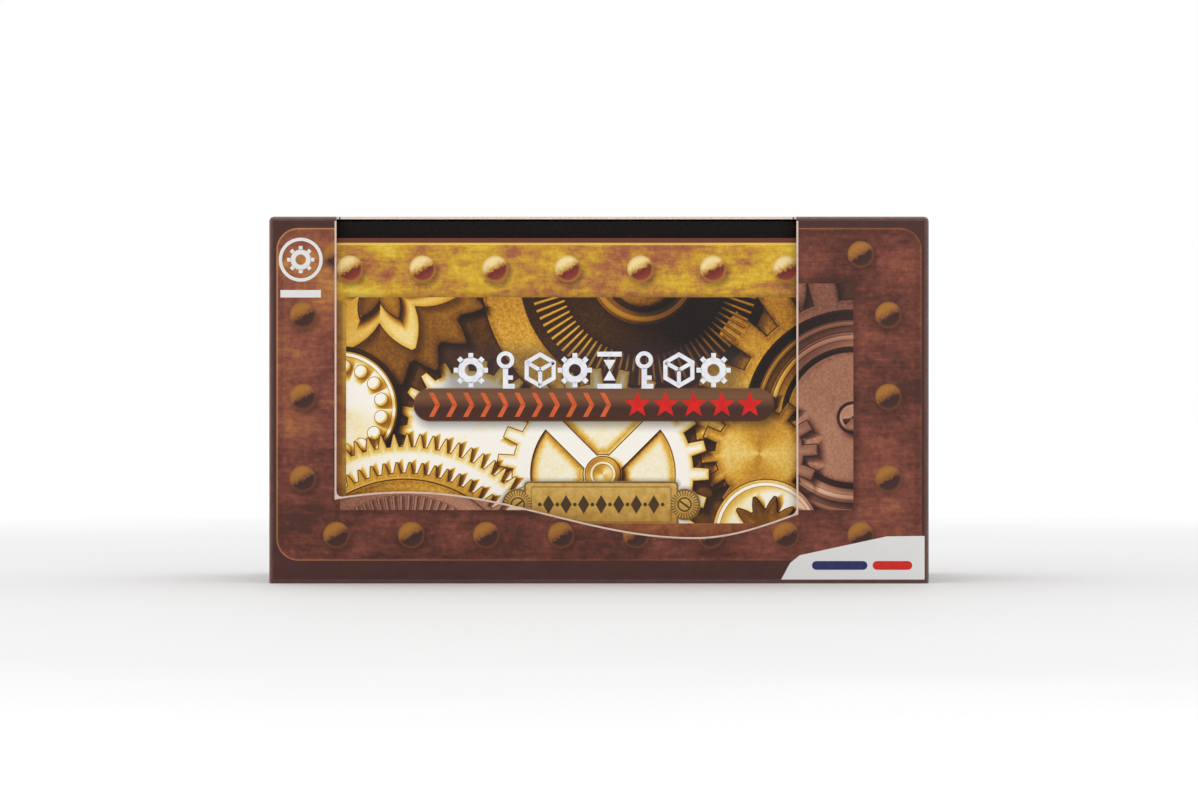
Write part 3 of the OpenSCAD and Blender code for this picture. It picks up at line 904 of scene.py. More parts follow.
@dataclass(frozen=True)
class TrayPanelPrint:
    """The gilt print of one of the tray's panels: a riveted bar over a picture or over plain plate."""

    side: Side
    half_w: float
    top: float
    picture: bool

    RIM = 1.1
    BAR_LOW = 65.1
    RIVET_Z = 71.6
    RIVET_PITCH = 16.55
    FOOT = 13.6

    def material(self, name: str, gearwork: Gearwork) -> bpy.types.Material:
        """Builds the printed finish, with the picture where it has one.

        Args:
            name: The material's name.
            gearwork: The picture of gear wheels.

        Returns:
            The material.
        """
        canvas = Canvas(name)
        spot = self.side.spot(canvas)
        reach = math.floor((self.half_w - 6) / self.RIVET_PITCH)
        first = -reach * self.RIVET_PITCH + (-7.1 if self.picture else 0.0)
        count = 2 * reach + 1
        colour = GILT.colour(canvas, spot.x.rise(-60.0, 60.0, 0.1, -0.06))
        if self.picture:
            art = canvas.ramp(gearwork.tone(canvas, spot), Palette.GILT.value)
            window = spot.moved(1.0, (self.BAR_LOW + self.FOOT) / 2)
            edge = window.slab(58.6, (self.BAR_LOW - self.FOOT) / 2, 0.3)
            colour = canvas.over(edge.rise(-0.05, 1.6, 0.45, 0.0), colour, "6a3a1c")
            colour = canvas.over(edge.rise(-0.06, 0.06, 1.0, 0.0), colour, art)
            colour = self.badges(canvas, spot, colour)
            rust = canvas.ramp(canvas.noise(0.5, 5.0, 0.7, 51.0), Palette.RUST_FOOT.value)
            colour = canvas.over(spot.y.rise(self.FOOT - 0.1, self.FOOT + 0.1, 1.0, 0.0), colour, rust)
            strip = spot.x.rise(-58.9, -57.7, 0.85, 0.0) * spot.y.rise(64.0, self.BAR_LOW, 1.0, 0.0)
            colour = canvas.over(strip, colour, rust)
        rows = [spot.moved(first, self.RIVET_Z).along(self.RIVET_PITCH, count)]
        if not self.picture:
            rows.append(spot.moved(first, 7.0).along(self.RIVET_PITCH, count))
        colour = GILT.rivets(canvas, colour, rows)
        rim = self.top - self.RIM
        line = (spot.y - (rim - 0.25)).size()
        colour = canvas.over(line.rise(0.15, 0.4, 0.75, 0.0), colour, "f0cc5c")
        colour = canvas.over(spot.y.rise(rim - 0.05, rim + 0.05), colour, "6b3826")
        fibre = canvas.noise(3.0, 4.0, 0.6, 1.0)
        return canvas.dress(colour, paper_sheen(canvas), fibre, 0.006, Specular_IOR_Level=0.25)

    def badges(self, canvas: Canvas, spot: Spot, colour: bpy.types.NodeSocket) -> bpy.types.NodeSocket:
        """Prints the shade under the badges, the dark pill and the brass name plate.

        Args:
            canvas: The node sheet.
            spot: Where a point lies on the panel.
            colour: Colour below.

        Returns:
            The colour with the badges on it.
        """
        haze = spot.moved(-1.5, 48.4).slab(33.5, 4.6, 3.0)
        colour = canvas.over(haze.rise(-2.0, 3.2, 0.62, 0.0), colour, "3a2a2c")
        pill = spot.moved(-1.2, RATING_Z)
        shadow = pill.moved(0.6, -0.8).slab(41.2, 3.9, 3.9)
        colour = canvas.over(shadow.rise(-1.0, 2.0, 0.6, 0.0), colour, "2a160c")
        bands = ((0.0, "4c2a1e"), (0.35, "44281e"), (0.8, "7c5236"), (1.0, "6e4a34"))
        shade = canvas.ramp(pill.y.rise(-4.2, 4.2), bands)
        colour = canvas.over(pill.slab(41.2, 3.9, 3.9).rise(-0.35, 0.12, 1.0, 0.0), colour, shade)
        return self.name_plate(canvas, spot.moved(0.5, 17.9), colour)

    def name_plate(self, canvas: Canvas, spot: Spot, colour: bpy.types.NodeSocket) -> bpy.types.NodeSocket:
        """Prints a blank brass plate with a milled screw at each end and lozenges along it.

        Args:
            canvas: The node sheet.
            spot: Where a point lies, seen from the plate's middle.
            colour: Colour below.

        Returns:
            The colour with the plate on it.
        """
        brass = canvas.noise(0.6, 4.0, 0.7, 31.0) * 0.5 + 0.32
        metal = canvas.ramp(
            brass + spot.y.rise(-5.2, 5.2, -0.06, 0.1),
            ((0.3, "8a6228"), (0.5, "b88a3c"), (0.65, "d0a654"), (0.85, "e6c67c")),
        )
        side = Spot(spot.x.size(), spot.y)
        boss = side.moved(19.0, 0.0)
        body = spot.slab(17.6, 5.3, 1.1).least(boss.length() - 3.6)
        colour = canvas.over(body.rise(-0.5, 1.2, 0.65, 0.0), colour, "2c1608")
        colour = canvas.over(body.rise(-0.1, 0.1, 1.0, 0.0), colour, metal)
        colour = canvas.over((body + 0.25).size().rise(0.08, 0.3, 0.85, 0.0), colour, "5a3a14")
        groove = (spot.slab(16.0, 4.1, 0.5) + 0.1).size().rise(0.08, 0.25, 0.5, 0.0)
        colour = canvas.over(groove, colour, "6a4618")
        angle = canvas.math("ARCTAN2", boss.y, boss.x)
        milled = (angle * (28 / (2 * math.pi))).part().rise(0.35, 0.65, 0.0, 1.0)
        ring = (boss.length() - 2.6).size().rise(0.55, 0.75, 0.8, 0.0)
        colour = canvas.over(ring * milled, colour, "5a3a14")
        head = boss.length()
        colour = canvas.over((head - 1.5).size().rise(0.1, 0.3, 0.9, 0.0), colour, "4a2e10")
        slot = (boss.x * 0.6 + boss.y * 0.8).size().rise(0.12, 0.28, 1.0, 0.0)
        colour = canvas.over(slot * head.rise(1.2, 1.4, 1.0, 0.0), colour, "3a240c")
        tile = spot.moved(-12.0, 0.0).along(4.0, 7)
        lozenge = tile.x.size() * 1.25 + tile.y.size() * 0.75 - 1.6
        colour = canvas.over(lozenge.rise(-0.08, 0.12, 1.0, 0.0), colour, "4c361c")
        bead = spot.moved(-14.0, 0.0).along(4.0, 8).length() - 0.42
        return canvas.over(bead.rise(-0.06, 0.1, 1.0, 0.0), colour, "4c361c")


class Card:
    """Bare card: the white inside and the cut edges."""

    @staticmethod
    def inside() -> bpy.types.Material:
        """The uncoated white side, with faint fibres.

        Returns:
            The material.
        """
        canvas = Canvas("card_inside")
        fibre = canvas.noise(1.8, 5.0, 0.7, 4.0, (1.0, 1.0, 0.4))
        colour = canvas.ramp(fibre, ((0.3, "d9d3c8"), (0.7, "ebe7df")))
        return canvas.dress(colour, 0.78, fibre, 0.03)

    @staticmethod
    def cut() -> bpy.types.Material:
        """The raw edge, warm where the knife has dragged ink over it.

        Returns:
            The material.
        """
        canvas = Canvas("card_cut_edge")
        layers = canvas.noise(2.5, 4.0, 0.7, 7.0)
        colour = canvas.ramp(layers, ((0.3, "d2aa94"), (0.5, "e6cfc0"), (0.7, "efe4d8")))
        return canvas.dress(colour, 0.8, layers, 0.03)

    @staticmethod
    def fold(name: str, dark: str, light: str, wear_and_fold_highlight: str) -> bpy.types.Material:
        """Border ink, with a painted highlight where the card turns a fold, made patchy by noise.

        Args:
            name: The material's name.
            dark: Darker ink of the border.
            light: Lighter ink of the border.
            wear_and_fold_highlight: Painted highlight colour along the folds.

        Returns:
            The material.
        """
        canvas = Canvas(name)
        specks = canvas.noise(0.4, 4.0, 0.6, 12.0)
        colour = canvas.ramp(specks, ((0.3, dark), (0.7, light)))
        normal = canvas.node("ShaderNodeNewGeometry").outputs["Normal"]
        split = canvas.node("ShaderNodeSeparateXYZ")
        canvas.tree.links.new(normal, split.inputs[0])
        x, y, z = (Field(canvas, split.outputs[axis]).size() for axis in "XYZ")
        # Painted highlight: faces that turn round a fold are mixed towards a lighter ink, patchy with
        # noise, where the rounded folds would catch the light.
        turning = 1.0 - x.most(y).most(z)
        fold_highlight_mask = turning.rise(0.04, 0.29) * canvas.noise(0.9, 4.0, 0.7, 15.0).rise(0.3, 0.7, 0.35, 0.9)
        colour = canvas.over(fold_highlight_mask, colour, wear_and_fold_highlight)
        return canvas.dress(colour, paper_sheen(canvas), specks, 0.008)


@dataclass(frozen=True)
class Timber:
    """A sawn wood finish: ply veneer on the faces and darker, layered cut edges."""

    name: str
    pale: str
    dark: str
    edge_pale: str
    edge_dark: str
    grain_axis: int = 0
    rough: float = 0.6
    face_axis: int = 2
    gloss: float = 0.35

    def material(self) -> bpy.types.Material:
        """Builds the wood.

        Returns:
            The material.
        """
        canvas = Canvas(self.name)
        stretch = tuple(0.06 if axis == self.grain_axis else 1.0 for axis in range(3))
        warp = canvas.noise(0.08, 2.0, 0.5, 17.0)
        streak = canvas.noise(0.9, 5.0, 0.65, 23.0, stretch)
        pores = canvas.noise(5.0, 3.0, 0.7, 29.0, stretch)
        tone = streak * 0.75 + warp * 0.35 + (pores - 0.5) * 0.35 - 0.05
        face = canvas.ramp(tone, ((0.28, self.dark), (0.5, self.pale), (0.75, self.pale)))
        face = canvas.over(pores.rise(0.58, 0.72, 0.0, 0.35), face, self.dark)
        burn = canvas.noise(1.2, 4.0, 0.7, 31.0)
        edge = canvas.ramp(burn, ((0.3, self.edge_dark), (0.65, self.edge_pale)))
        normal = canvas.node("ShaderNodeNewGeometry").outputs["Normal"]
        split = canvas.node("ShaderNodeSeparateXYZ")
        canvas.tree.links.new(normal, split.inputs[0])
        upright = Field(canvas, split.outputs[self.face_axis]).size()
        colour = canvas.over(upright.rise(0.75, 0.95, 1.0, 0.0), face, edge)
        relief = streak * 0.6 + pores * 0.4
        return canvas.dress(colour, self.rough, relief, 0.03, Specular_IOR_Level=self.gloss)


class Metal(Enum):
    """Turned metal finishes: base, tarnish and roughness."""

    BRASS = ("c9a050", "8a6428", 0.3)
    STEEL = ("b4b6ba", "7c7e82", 0.34)

    def material(self) -> bpy.types.Material:
        """Builds the metal.

        Returns:
            The material.
        """
        base, tarnish, rough = self.value
        canvas = Canvas(self.name.lower())
        cloud = canvas.noise(0.8, 4.0, 0.65, 5.0)
        colour = canvas.ramp(cloud, ((0.35, tarnish), (0.6, base)))
        fine = canvas.noise(9.0, 3.0, 0.6, 8.0)
        return canvas.dress(colour, cloud.rise(0.3, 0.7, rough + 0.15, rough), fine, 0.008, Metallic=1.0)


def felt_material() -> bpy.types.Material:
    """Pressed wine-red felt.

    Returns:
        The material.
    """
    canvas = Canvas("felt")
    wool = canvas.noise(2.4, 6.0, 0.8, 3.0)
    colour = canvas.ramp(wool, ((0.3, "3c1014"), (0.7, "6e2226")))
    return canvas.dress(colour, 0.95, wool, 0.15, Sheen_Weight=0.4)


def flat_ink(name: str, code: str, faded: str) -> bpy.types.Material:
    """Solid ink, a little uneven over the board.

    Args:
        name: The material's name.
        code: The ink.
        faded: The ink where it lies thinner.

    Returns:
        The material.
    """
    canvas = Canvas(name)
    patch = canvas.noise(0.5, 4.0, 0.6, 19.0)
    colour = canvas.ramp(patch, ((0.35, faded), (0.6, code)))
    return canvas.dress(colour, paper_sheen(canvas), patch, 0.004, Specular_IOR_Level=0.25)


# ---------------------------------------------------------------------------------------------------
# The bench
# ---------------------------------------------------------------------------------------------------


class Bench:
    """The modelling steps that the pieces share."""

    @staticmethod
    def only(piece: bpy.types.Object) -> None:
        """Selects one piece and nothing else.

        Args:
            piece: The piece to select.
        """
        if bpy.context.mode != "OBJECT":
            bpy.ops.object.mode_set(mode="OBJECT")
        bpy.ops.object.select_all(action="DESELECT")
        piece.select_set(True)
        bpy.context.view_layer.objects.active = piece

    @staticmethod
    def named(name: str) -> bpy.types.Object:
        """Names the piece just added and puts its place into its mesh.

        Args:
            name: Its name.

        Returns:
            The piece.
        """
        piece = bpy.context.active_object
        piece.name = name
        piece.data.name = name
        bpy.ops.object.transform_apply(location=True, rotation=True, scale=True)
        return piece

    @staticmethod
    def box(name: str, low: Sequence[float], high: Sequence[float]) -> bpy.types.Object:
        """Adds a block between two corners, in metres.

        Args:
            name: Its name.
            low: Its lowest corner.
            high: Its highest corner.

        Returns:
            The block.
        """
        bpy.ops.object.select_all(action="DESELECT")
        low, high = Vector(low), Vector(high)
        bpy.ops.mesh.primitive_cube_add(size=1.0, location=(low + high) / 2, scale=high - low)
        return Bench.named(name)

    @staticmethod
    def disc(name: str, x: float, y: float, z: float, radius: float, count: int = 48) -> bpy.types.Object:
        """Adds a flat disc that faces -Y.

        Args:
            name: Its name.
            x: Its middle, to the right.
            y: Its middle, backwards.
            z: Its middle, upwards.
            radius: Its radius, in metres.
            count: Number of its corners.

        Returns:
            The disc.
        """
        bpy.ops.object.select_all(action="DESELECT")
        bpy.ops.mesh.primitive_circle_add(
            vertices=count,
            radius=radius,
            fill_type="NGON",
            location=(x, y, z),
            rotation=(math.pi / 2, 0, 0),
        )
        return Bench.named(name)

    @staticmethod
    def ring(place: Sequence[float], radius: float, width: float, count: int = 48) -> bpy.types.Object:
        """Adds a flat printed ring that faces -Y, or a polygon's frame.

        Args:
            place: Its middle, in metres.
            radius: Its outer radius, in millimetres.
            width: Its width, in millimetres.
            count: Number of its corners.

        Returns:
            The ring, from a disc whose middle is inset and taken out.
        """
        ring = Bench.disc("ring", *place, radius * MM, count)
        mesh = Bench.edit(ring, "FACE")
        Bench.pick(ring, mesh.faces, lambda f: True)
        bpy.ops.mesh.inset(thickness=width * MM)
        bpy.ops.mesh.delete(type="FACE")
        Bench.done()
        Bench.modify(ring, "SOLIDIFY", thickness=INK_DEPTH, offset=1.0)
        return ring

    @staticmethod
    def turn(piece: bpy.types.Object, angle: float, middle: Sequence[float]) -> None:
        """Turns all of a piece's mesh about the Y axis through a point.

        Args:
            piece: The piece to turn.
            angle: The angle, in radians.
            middle: The point it turns about.
        """
        Bench.edit(piece, "VERT")
        bpy.ops.mesh.select_all(action="SELECT")
        bpy.ops.transform.rotate(value=angle, orient_axis="Y", center_override=middle)
        Bench.done()

    @staticmethod
    def edit(piece: bpy.types.Object, mode: str) -> bmesh.types.BMesh:
        """Enters edit mode with nothing selected.

        Args:
            piece: The piece to edit.
            mode: What is selected there: VERT, EDGE or FACE.

        Returns:
            The mesh being edited.
        """
        Bench.only(piece)
        bpy.ops.object.mode_set(mode="EDIT")
        bpy.ops.mesh.select_mode(type=mode)
        bpy.ops.mesh.select_all(action="DESELECT")
        return bmesh.from_edit_mesh(piece.data)

    @staticmethod
    def pick(piece: bpy.types.Object, parts: Sequence, test: Callable[[object], bool]) -> None:
        """Selects the parts of the mesh that pass a test.

        Args:
            piece: The piece being edited.
            parts: Its vertices, edges or faces.
            test: Says whether a part is wanted.
        """
        for part in [part for part in parts if test(part)]:
            part.select_set(True)
        bmesh.update_edit_mesh(piece.data)

    @staticmethod
    def done() -> None:
        """Leaves edit mode."""
        bpy.ops.object.mode_set(mode="OBJECT")

    @staticmethod
    def modify(piece: bpy.types.Object, kind: str, **settings: object) -> None:
        """Adds a modifier, sets it and applies it.

        Args:
            piece: The piece.
            kind: The modifier's type.
            settings: Its properties, by name.
        """
        Bench.only(piece)
        modifier = piece.modifiers.new(kind.lower(), kind)
        for name, value in settings.items():
            setattr(modifier, name, value)
        bpy.ops.object.modifier_apply(modifier=modifier.name)

    @staticmethod
    def cut(piece: bpy.types.Object, *cutters: bpy.types.Object) -> None:
        """Cuts other pieces' shapes out of one."""
        for cutter in cutters:
            Bench.modify(piece, "BOOLEAN", object=cutter, operation="DIFFERENCE", solver="EXACT")

    @staticmethod
    def bin(*pieces: bpy.types.Object) -> None:
        """Throws cutters away.

        Args:
            pieces: The cutters.
        """
        for piece in pieces:
            mesh = piece.data
            bpy.data.objects.remove(piece)
            bpy.data.meshes.remove(mesh)

    @staticmethod
    def join(name: str, pieces: Sequence[bpy.types.Object]) -> bpy.types.Object:
        """Joins pieces into one.

        Args:
            name: The joined piece's name.
            pieces: The pieces, the first of which stays.

        Returns:
            The joined piece.
        """
        bpy.ops.object.select_all(action="DESELECT")
        for piece in pieces:
            piece.select_set(True)
        bpy.context.view_layer.objects.active = pieces[0]
        bpy.ops.object.join()
        pieces[0].name = name
        pieces[0].data.name = name
        return pieces[0]

    @staticmethod
    def smooth(piece: bpy.types.Object, degrees: float = 35.0) -> None:
        """Shades a piece smooth, but not across sharp edges."""
        Bench.only(piece)
        bpy.ops.object.shade_smooth_by_angle(angle=math.radians(degrees))

    @staticmethod
    def eased(node: str, name: str, width: float, segments: int = 2) -> bpy.types.Object:
        """Copies a CAD node, merges its triangles into faces and eases its edges.

        Args:
            node: The CAD node.
            name: The copy's name.
            width: Width of the eased edge, in metres.
            segments: Steps in that edge.

        Returns:
            The copy.
        """
        piece = frame["nodes"][node].copy()
        piece.data = piece.data.copy()
        piece.name = name
        piece.data.name = name
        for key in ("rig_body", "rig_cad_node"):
            if key in piece:
                del piece[key]
        piece.parent = None
        bpy.context.scene.collection.objects.link(piece)
        mesh = Bench.edit(piece, "VERT")
        bpy.ops.mesh.select_all(action="SELECT")
        bpy.ops.mesh.remove_doubles(threshold=0.000002)
        bpy.ops.mesh.dissolve_limited(angle_limit=math.radians(1.0))
        Bench.done()
        Bench.modify(piece, "BEVEL", width=width, segments=segments, limit_method="ANGLE",
                     angle_limit=math.radians(40), use_clamp_overlap=True)
        Bench.smooth(piece)
        return piece

    @staticmethod
    def dress(piece: bpy.types.Object, *materials: bpy.types.Material) -> None:
        """Gives a piece its materials in place of those it has.

        Args:
            piece: The piece.
            materials: Its new materials, in order.
        """
        piece.data.materials.clear()
        for material in materials:
            piece.data.materials.append(material)


# ---------------------------------------------------------------------------------------------------
# Printed card
# ---------------------------------------------------------------------------------------------------


@dataclass
class CardShell:
    """A folded card box with one closed end: the shared make of cover and tray. Sizes are in metres."""

    name: str
    node: str
    body: str
    slot: str
    closed_below: bool
    border: bpy.types.Material
    inside: bpy.types.Material
    cut_edge: bpy.types.Material
    card: float = 0.5 * MM
    fold: float = 1.0 * MM

    def __post_init__(self) -> None:
        """Takes the outside size from the CAD node."""
        self.low, self.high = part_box(self.node)

    def build(self, cutters: Sequence[bpy.types.Object] = ()) -> bpy.types.Object:
        """Builds the shell and cuts its window.

        Args:
            cutters: Pieces whose shapes are cut out of it.

        Returns:
            The shell, riding on its body.
        """
        shell = Bench.box(self.name, self.low, self.high)
        open_z = self.high.z if self.closed_below else self.low.z
        mesh = Bench.edit(shell, "FACE")
        Bench.pick(shell, mesh.faces, lambda f: all(abs(v.co.z - open_z) < TOUCH for v in f.verts))
        bpy.ops.mesh.delete(type="FACE")
        mesh = Bench.edit(shell, "EDGE")
        Bench.pick(shell, mesh.edges, lambda e: len(e.link_faces) == 2)
        bpy.ops.mesh.bevel(offset=self.fold, segments=5, affect="EDGES")
        Bench.done()
        Bench.modify(shell, "SOLIDIFY", thickness=self.card, offset=-1.0, use_even_offset=True)
        Bench.cut(shell, *cutters)
        Bench.dress(shell, self.border, self.inside, self.cut_edge)
        self.sort_faces(shell, open_z)
        Bench.smooth(shell)
        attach(shell, self.body)
        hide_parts(self.node)
        log.info("%s: %d faces", self.name, len(shell.data.polygons))
        return shell

    def sort_faces(self, shell: bpy.types.Object, open_z: float) -> None:
        """Gives the outside its border ink, the inside bare card and the cut edges their own finish.

        Args:
            shell: The shell.
            open_z: Height of its open end.
        """
        middle = (self.low + self.high) / 2
        half = (self.high - self.low) / 2
        for face in shell.data.polygons:
            place = face.center - middle
            skin = max(abs(place[i]) - half[i] for i in range(3))
            on_rim = abs(face.center.z - open_z) < TOUCH
            between_skins = -0.85 * self.card < skin < -0.15 * self.card
            folded = sum(1 for n in face.normal if abs(n) > 0.08) > 1
            if on_rim or (between_skins and not folded):
                face.material_index = 2
            elif face.normal.dot(place) > 0 and skin > -0.6 * self.fold:
                face.material_index = 0
            else:
                face.material_index = 1

    def panel(self, name: str, side: Side, margin: float, finish: bpy.types.Material,
              cutters: Sequence[bpy.types.Object] = ()) -> bpy.types.Object:
        """Lays a printed sheet on one panel of the shell.

        Args:
            name: The sheet's name.
            side: Which panel it covers.
            margin: How far it stops short of the panel's edges, in metres.
            finish: What is printed on it.
            cutters: Pieces whose shapes are cut out of it.

        Returns:
            The sheet, riding on the shell's body.
        """
        axis = {"FRONT": 1, "BACK": 1, "LEFT": 0, "RIGHT": 0, "TOP": 2}[side.name]
        top = side.name in ("BACK", "RIGHT", "TOP")
        low = [c + margin for c in self.low]
        high = [c - margin for c in self.high]
        face = (self.high if top else self.low)[axis]
        low[axis] = face if top else face - INK_DEPTH
        high[axis] = face + INK_DEPTH if top else face
        sheet = Bench.box(name, low, high)
        Bench.cut(sheet, *cutters)
        Bench.dress(sheet, finish)
        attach(sheet, self.body)
        log.info("%s: printed sheet", name)
        return sheet


@dataclass
class Window:
    """The opening in the cover's front and top, in metres."""

    left: float = -59.7 * MM
    right: float = 44.9 * MM
    back: float = -28.0 * MM
    wave_z: float = 15.7 * MM
    wave_rise: float = 5.2 * MM
    crest_x: float = -44.0 * MM
    trough_x: float = 21.7 * MM
    tail: float = 45.0 * MM
    steps: int = 48

    def edge_z(self, x: float) -> float:
        """Height of the waved edge at x.

        Args:
            x: Place along the front, in metres.

        Returns:
            The height, in metres.
        """
        if x < self.trough_x:
            phase = (x - self.crest_x) / (self.trough_x - self.crest_x)
        else:
            phase = 1 + (x - self.trough_x) / self.tail
        return self.wave_z + self.wave_rise * math.cos(math.pi * phase)

    def outside(self, canvas: Canvas, spot: Spot) -> Field:
        """How far a point of the front lies outside the window, in millimetres.

        Args:
            canvas: The node sheet.
            spot: Where a point lies on the front.

        Returns:
            The distance, negative inside.
        """
        fall = ((spot.x - self.crest_x / MM) / ((self.trough_x - self.crest_x) / MM)).least(1.0)
        rise = ((spot.x - self.trough_x / MM) / (self.tail / MM)).most(0.0)
        edge = canvas.math("COSINE", (fall + rise) * math.pi) * (self.wave_rise / MM) + self.wave_z / MM
        across = (self.left / MM - spot.x).most(spot.x - self.right / MM)
        return across.most(edge - spot.y)

    def front_cutter(self) -> bpy.types.Object:
        """A slab with the window's outline that passes through the cover's front.

        Returns:
            The cutter.
        """
        low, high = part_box("outer_cover")
        over = 2 * MM
        bpy.ops.object.select_all(action="DESELECT")
        middle = ((self.left + self.right) / 2, low.y - over, (high.z + over) / 2)
        bpy.ops.mesh.primitive_grid_add(
            x_subdivisions=self.steps,
            y_subdivisions=1,
            size=1.0,
            rotation=(math.pi / 2, 0, 0),
            location=middle,
        )
        cutter = Bench.named("window_front_cutter")
        Bench.edit(cutter, "VERT")
        bpy.ops.mesh.select_all(action="SELECT")
        bpy.ops.transform.resize(value=(self.right - self.left, 1.0, high.z + over), center_override=middle)
        mesh = bmesh.from_edit_mesh(cutter.data)
        foot = sorted((v for v in mesh.verts if v.co.z < TOUCH), key=lambda v: v.co.x)
        for vert in foot:
            bpy.ops.mesh.select_all(action="DESELECT")
            vert.select_set(True)
            bpy.ops.transform.translate(value=(0.0, 0.0, self.edge_z(vert.co.x)))
        bpy.ops.mesh.select_all(action="SELECT")
        bpy.ops.mesh.extrude_region_move(TRANSFORM_OT_translate={"value": (0.0, over + 1.0 * MM, 0.0)})
        bpy.ops.mesh.select_all(action="SELECT")
        bpy.ops.mesh.normals_make_consistent(inside=False)
        for x, radius in ((self.left, 1.5 * MM), (self.right, 1.1 * MM)):
            mesh = Bench.edit(cutter, "EDGE")
            z = self.edge_z(x)
            Bench.pick(
                cutter,
                mesh.edges,
                lambda e: all(abs(v.co.x - x) < TOUCH and abs(v.co.z - z) < 10 * TOUCH for v in e.verts),
            )
            bpy.ops.mesh.bevel(offset=radius, segments=6, affect="EDGES")
        Bench.done()
        return cutter

    def top_cutter(self) -> bpy.types.Object:
        """A block with the window's outline that passes through the cover's top.

        Returns:
            The cutter.
        """
        low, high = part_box("outer_cover")
        cutter = Bench.box("window_top_cutter", (self.left, low.y - 2 * MM, high.z - 1.4 * MM),
                           (self.right, self.back, high.z + 2 * MM))
        mesh = Bench.edit(cutter, "EDGE")
        Bench.pick(cutter, mesh.edges, lambda e: all(abs(v.co.y - self.back) < TOUCH for v in e.verts)
                   and abs(e.verts[0].co.z - e.verts[1].co.z) > 1e-4)
        bpy.ops.mesh.bevel(offset=0.8 * MM, segments=4, affect="EDGES")
        Bench.done()
        return cutter


@dataclass
class Cover:
    """The rust-brown printed cover with its window."""

    window: Window
    gearwork: Gearwork
    inside: bpy.types.Material
    cut_edge: bpy.types.Material

    def build(self) -> None:
        """Builds the shell, its prints, its glue flaps and its badges."""
        border = Card.fold("cover_border", "47291f", "5a362f", "8e5c4c")
        shell = CardShell("cover_card", "outer_cover", "cover", "printed_cover", False,
                          border, self.inside, self.cut_edge)
        cutters = (self.window.front_cutter(), self.window.top_cutter())
        shell.build(cutters)
        self.prints(shell, cutters)
        Bench.bin(*cutters)
        self.flaps(shell)
        self.badges(shell)

    def prints(self, shell: CardShell, cutters: tuple[bpy.types.Object, bpy.types.Object]) -> None:
        """Lays the five printed sheets.

        Args:
            shell: The cover's shell.
            cutters: What cuts the window out of the front and the top.
        """
        heights, rivet_x = (5.2, 80.8), -59.7
        end = ((74.8, 11.0), -22.5, 15.0, 4)
        prints = (
            CoverPanelPrint(Side.FRONT, 73.3, *heights, (-58.9, 57.8, 16.7, 68.2), (74.8, 11.0), rivet_x,
                            columns=(-67.3, 65.8), window=self.window),
            CoverPanelPrint(Side.BACK, 73.3, *heights, (-57.8, 58.9, 16.7, 68.2), (74.8, 11.0), rivet_x,
                            columns=(-66.6, 66.6)),
            CoverPanelPrint(Side.LEFT, 28.3, *heights, None, *end, columns=(-22.5, 22.5)),
            CoverPanelPrint(Side.RIGHT, 28.3, *heights, None, *end, columns=(-22.5, 22.5)),
            CoverPanelPrint(Side.TOP, 73.3, -28.3, 28.3, None, (-22.0, 22.0), rivet_x,
                            columns=(-67.0, 67.0), column_start=-7.0, column_pitch=14.0, column_count=2),
        )
        through = {Side.FRONT: cutters[:1], Side.TOP: cutters[1:]}
        for sheet in prints:
            name = f"cover_{sheet.side.name.lower()}_print"
            finish = sheet.material(name, self.gearwork)
            shell.panel(name, sheet.side, shell.fold, finish, through.get(sheet.side, ()))

    def flaps(self, shell: CardShell) -> None:
        """Glues a flap inside each corner, behind the front and the back.

        Args:
            shell: The cover's shell.
        """
        low, high = shell.low, shell.high
        flaps = []
        for x_side in (-1, 1):
            for y_side in (-1, 1):
                wall_x = x_side * (high.x - shell.card)
                wall_y = y_side * (high.y - shell.card)
                corners = [(wall_x, wall_y), (wall_x - x_side * 12 * MM, wall_y - y_side * shell.card)]
                xs, ys = zip(*corners)
                foot, head = low.z + 3 * MM, high.z - 6 * MM
                flap = Bench.box("flap", (min(xs), min(ys), foot), (max(xs), max(ys), head))
                mesh = Bench.edit(flap, "EDGE")
                inner = wall_x - x_side * 12 * MM
                Bench.pick(flap, mesh.edges, lambda e: all(abs(v.co.x - inner) < TOUCH for v in e.verts)
                           and abs(e.verts[0].co.y - e.verts[1].co.y) > 10 * TOUCH)
                bpy.ops.mesh.bevel(offset=4 * MM, segments=3, affect="EDGES")
                Bench.done()
                flaps.append(flap)
        joined = Bench.join("cover_glue_flaps", flaps)
        Bench.dress(joined, self.inside)
        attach(joined, "cover")
        log.info("cover_glue_flaps: 4 flaps")

    def badges(self, shell: CardShell) -> None:
        """Prints the plain white corner flash with two ink bars, and a ring emblem at the upper left.

        Args:
            shell: The cover's shell.
        """
        face = shell.low.y - INK_DEPTH
        white = flat_ink("white_ink", "e4e3e1", "e4e3e2")
        corners = ((41.4, 0.9), (43.4, 4.6), (45.6, 6.4), (65.4, 10.7), (74.0, 10.8), (74.0, 0.9))
        Outline("corner_flash", corners).build(face, white, "cover")
        navy = flat_ink("navy_ink", "2a2c5e", "34366a")
        red = flat_ink("red_ink", "d8281e", "c8241c")
        for index, (x, width, finish) in enumerate(((48.4, 12.6, navy), (62.2, 9.0, red))):
            Ribbon(f"flash_bar_{index + 1}", x, 3.1, width, 2.0).build(face - INK_DEPTH, finish, "cover")
        Emblem("forest_emblem").build(face, white, "cover")


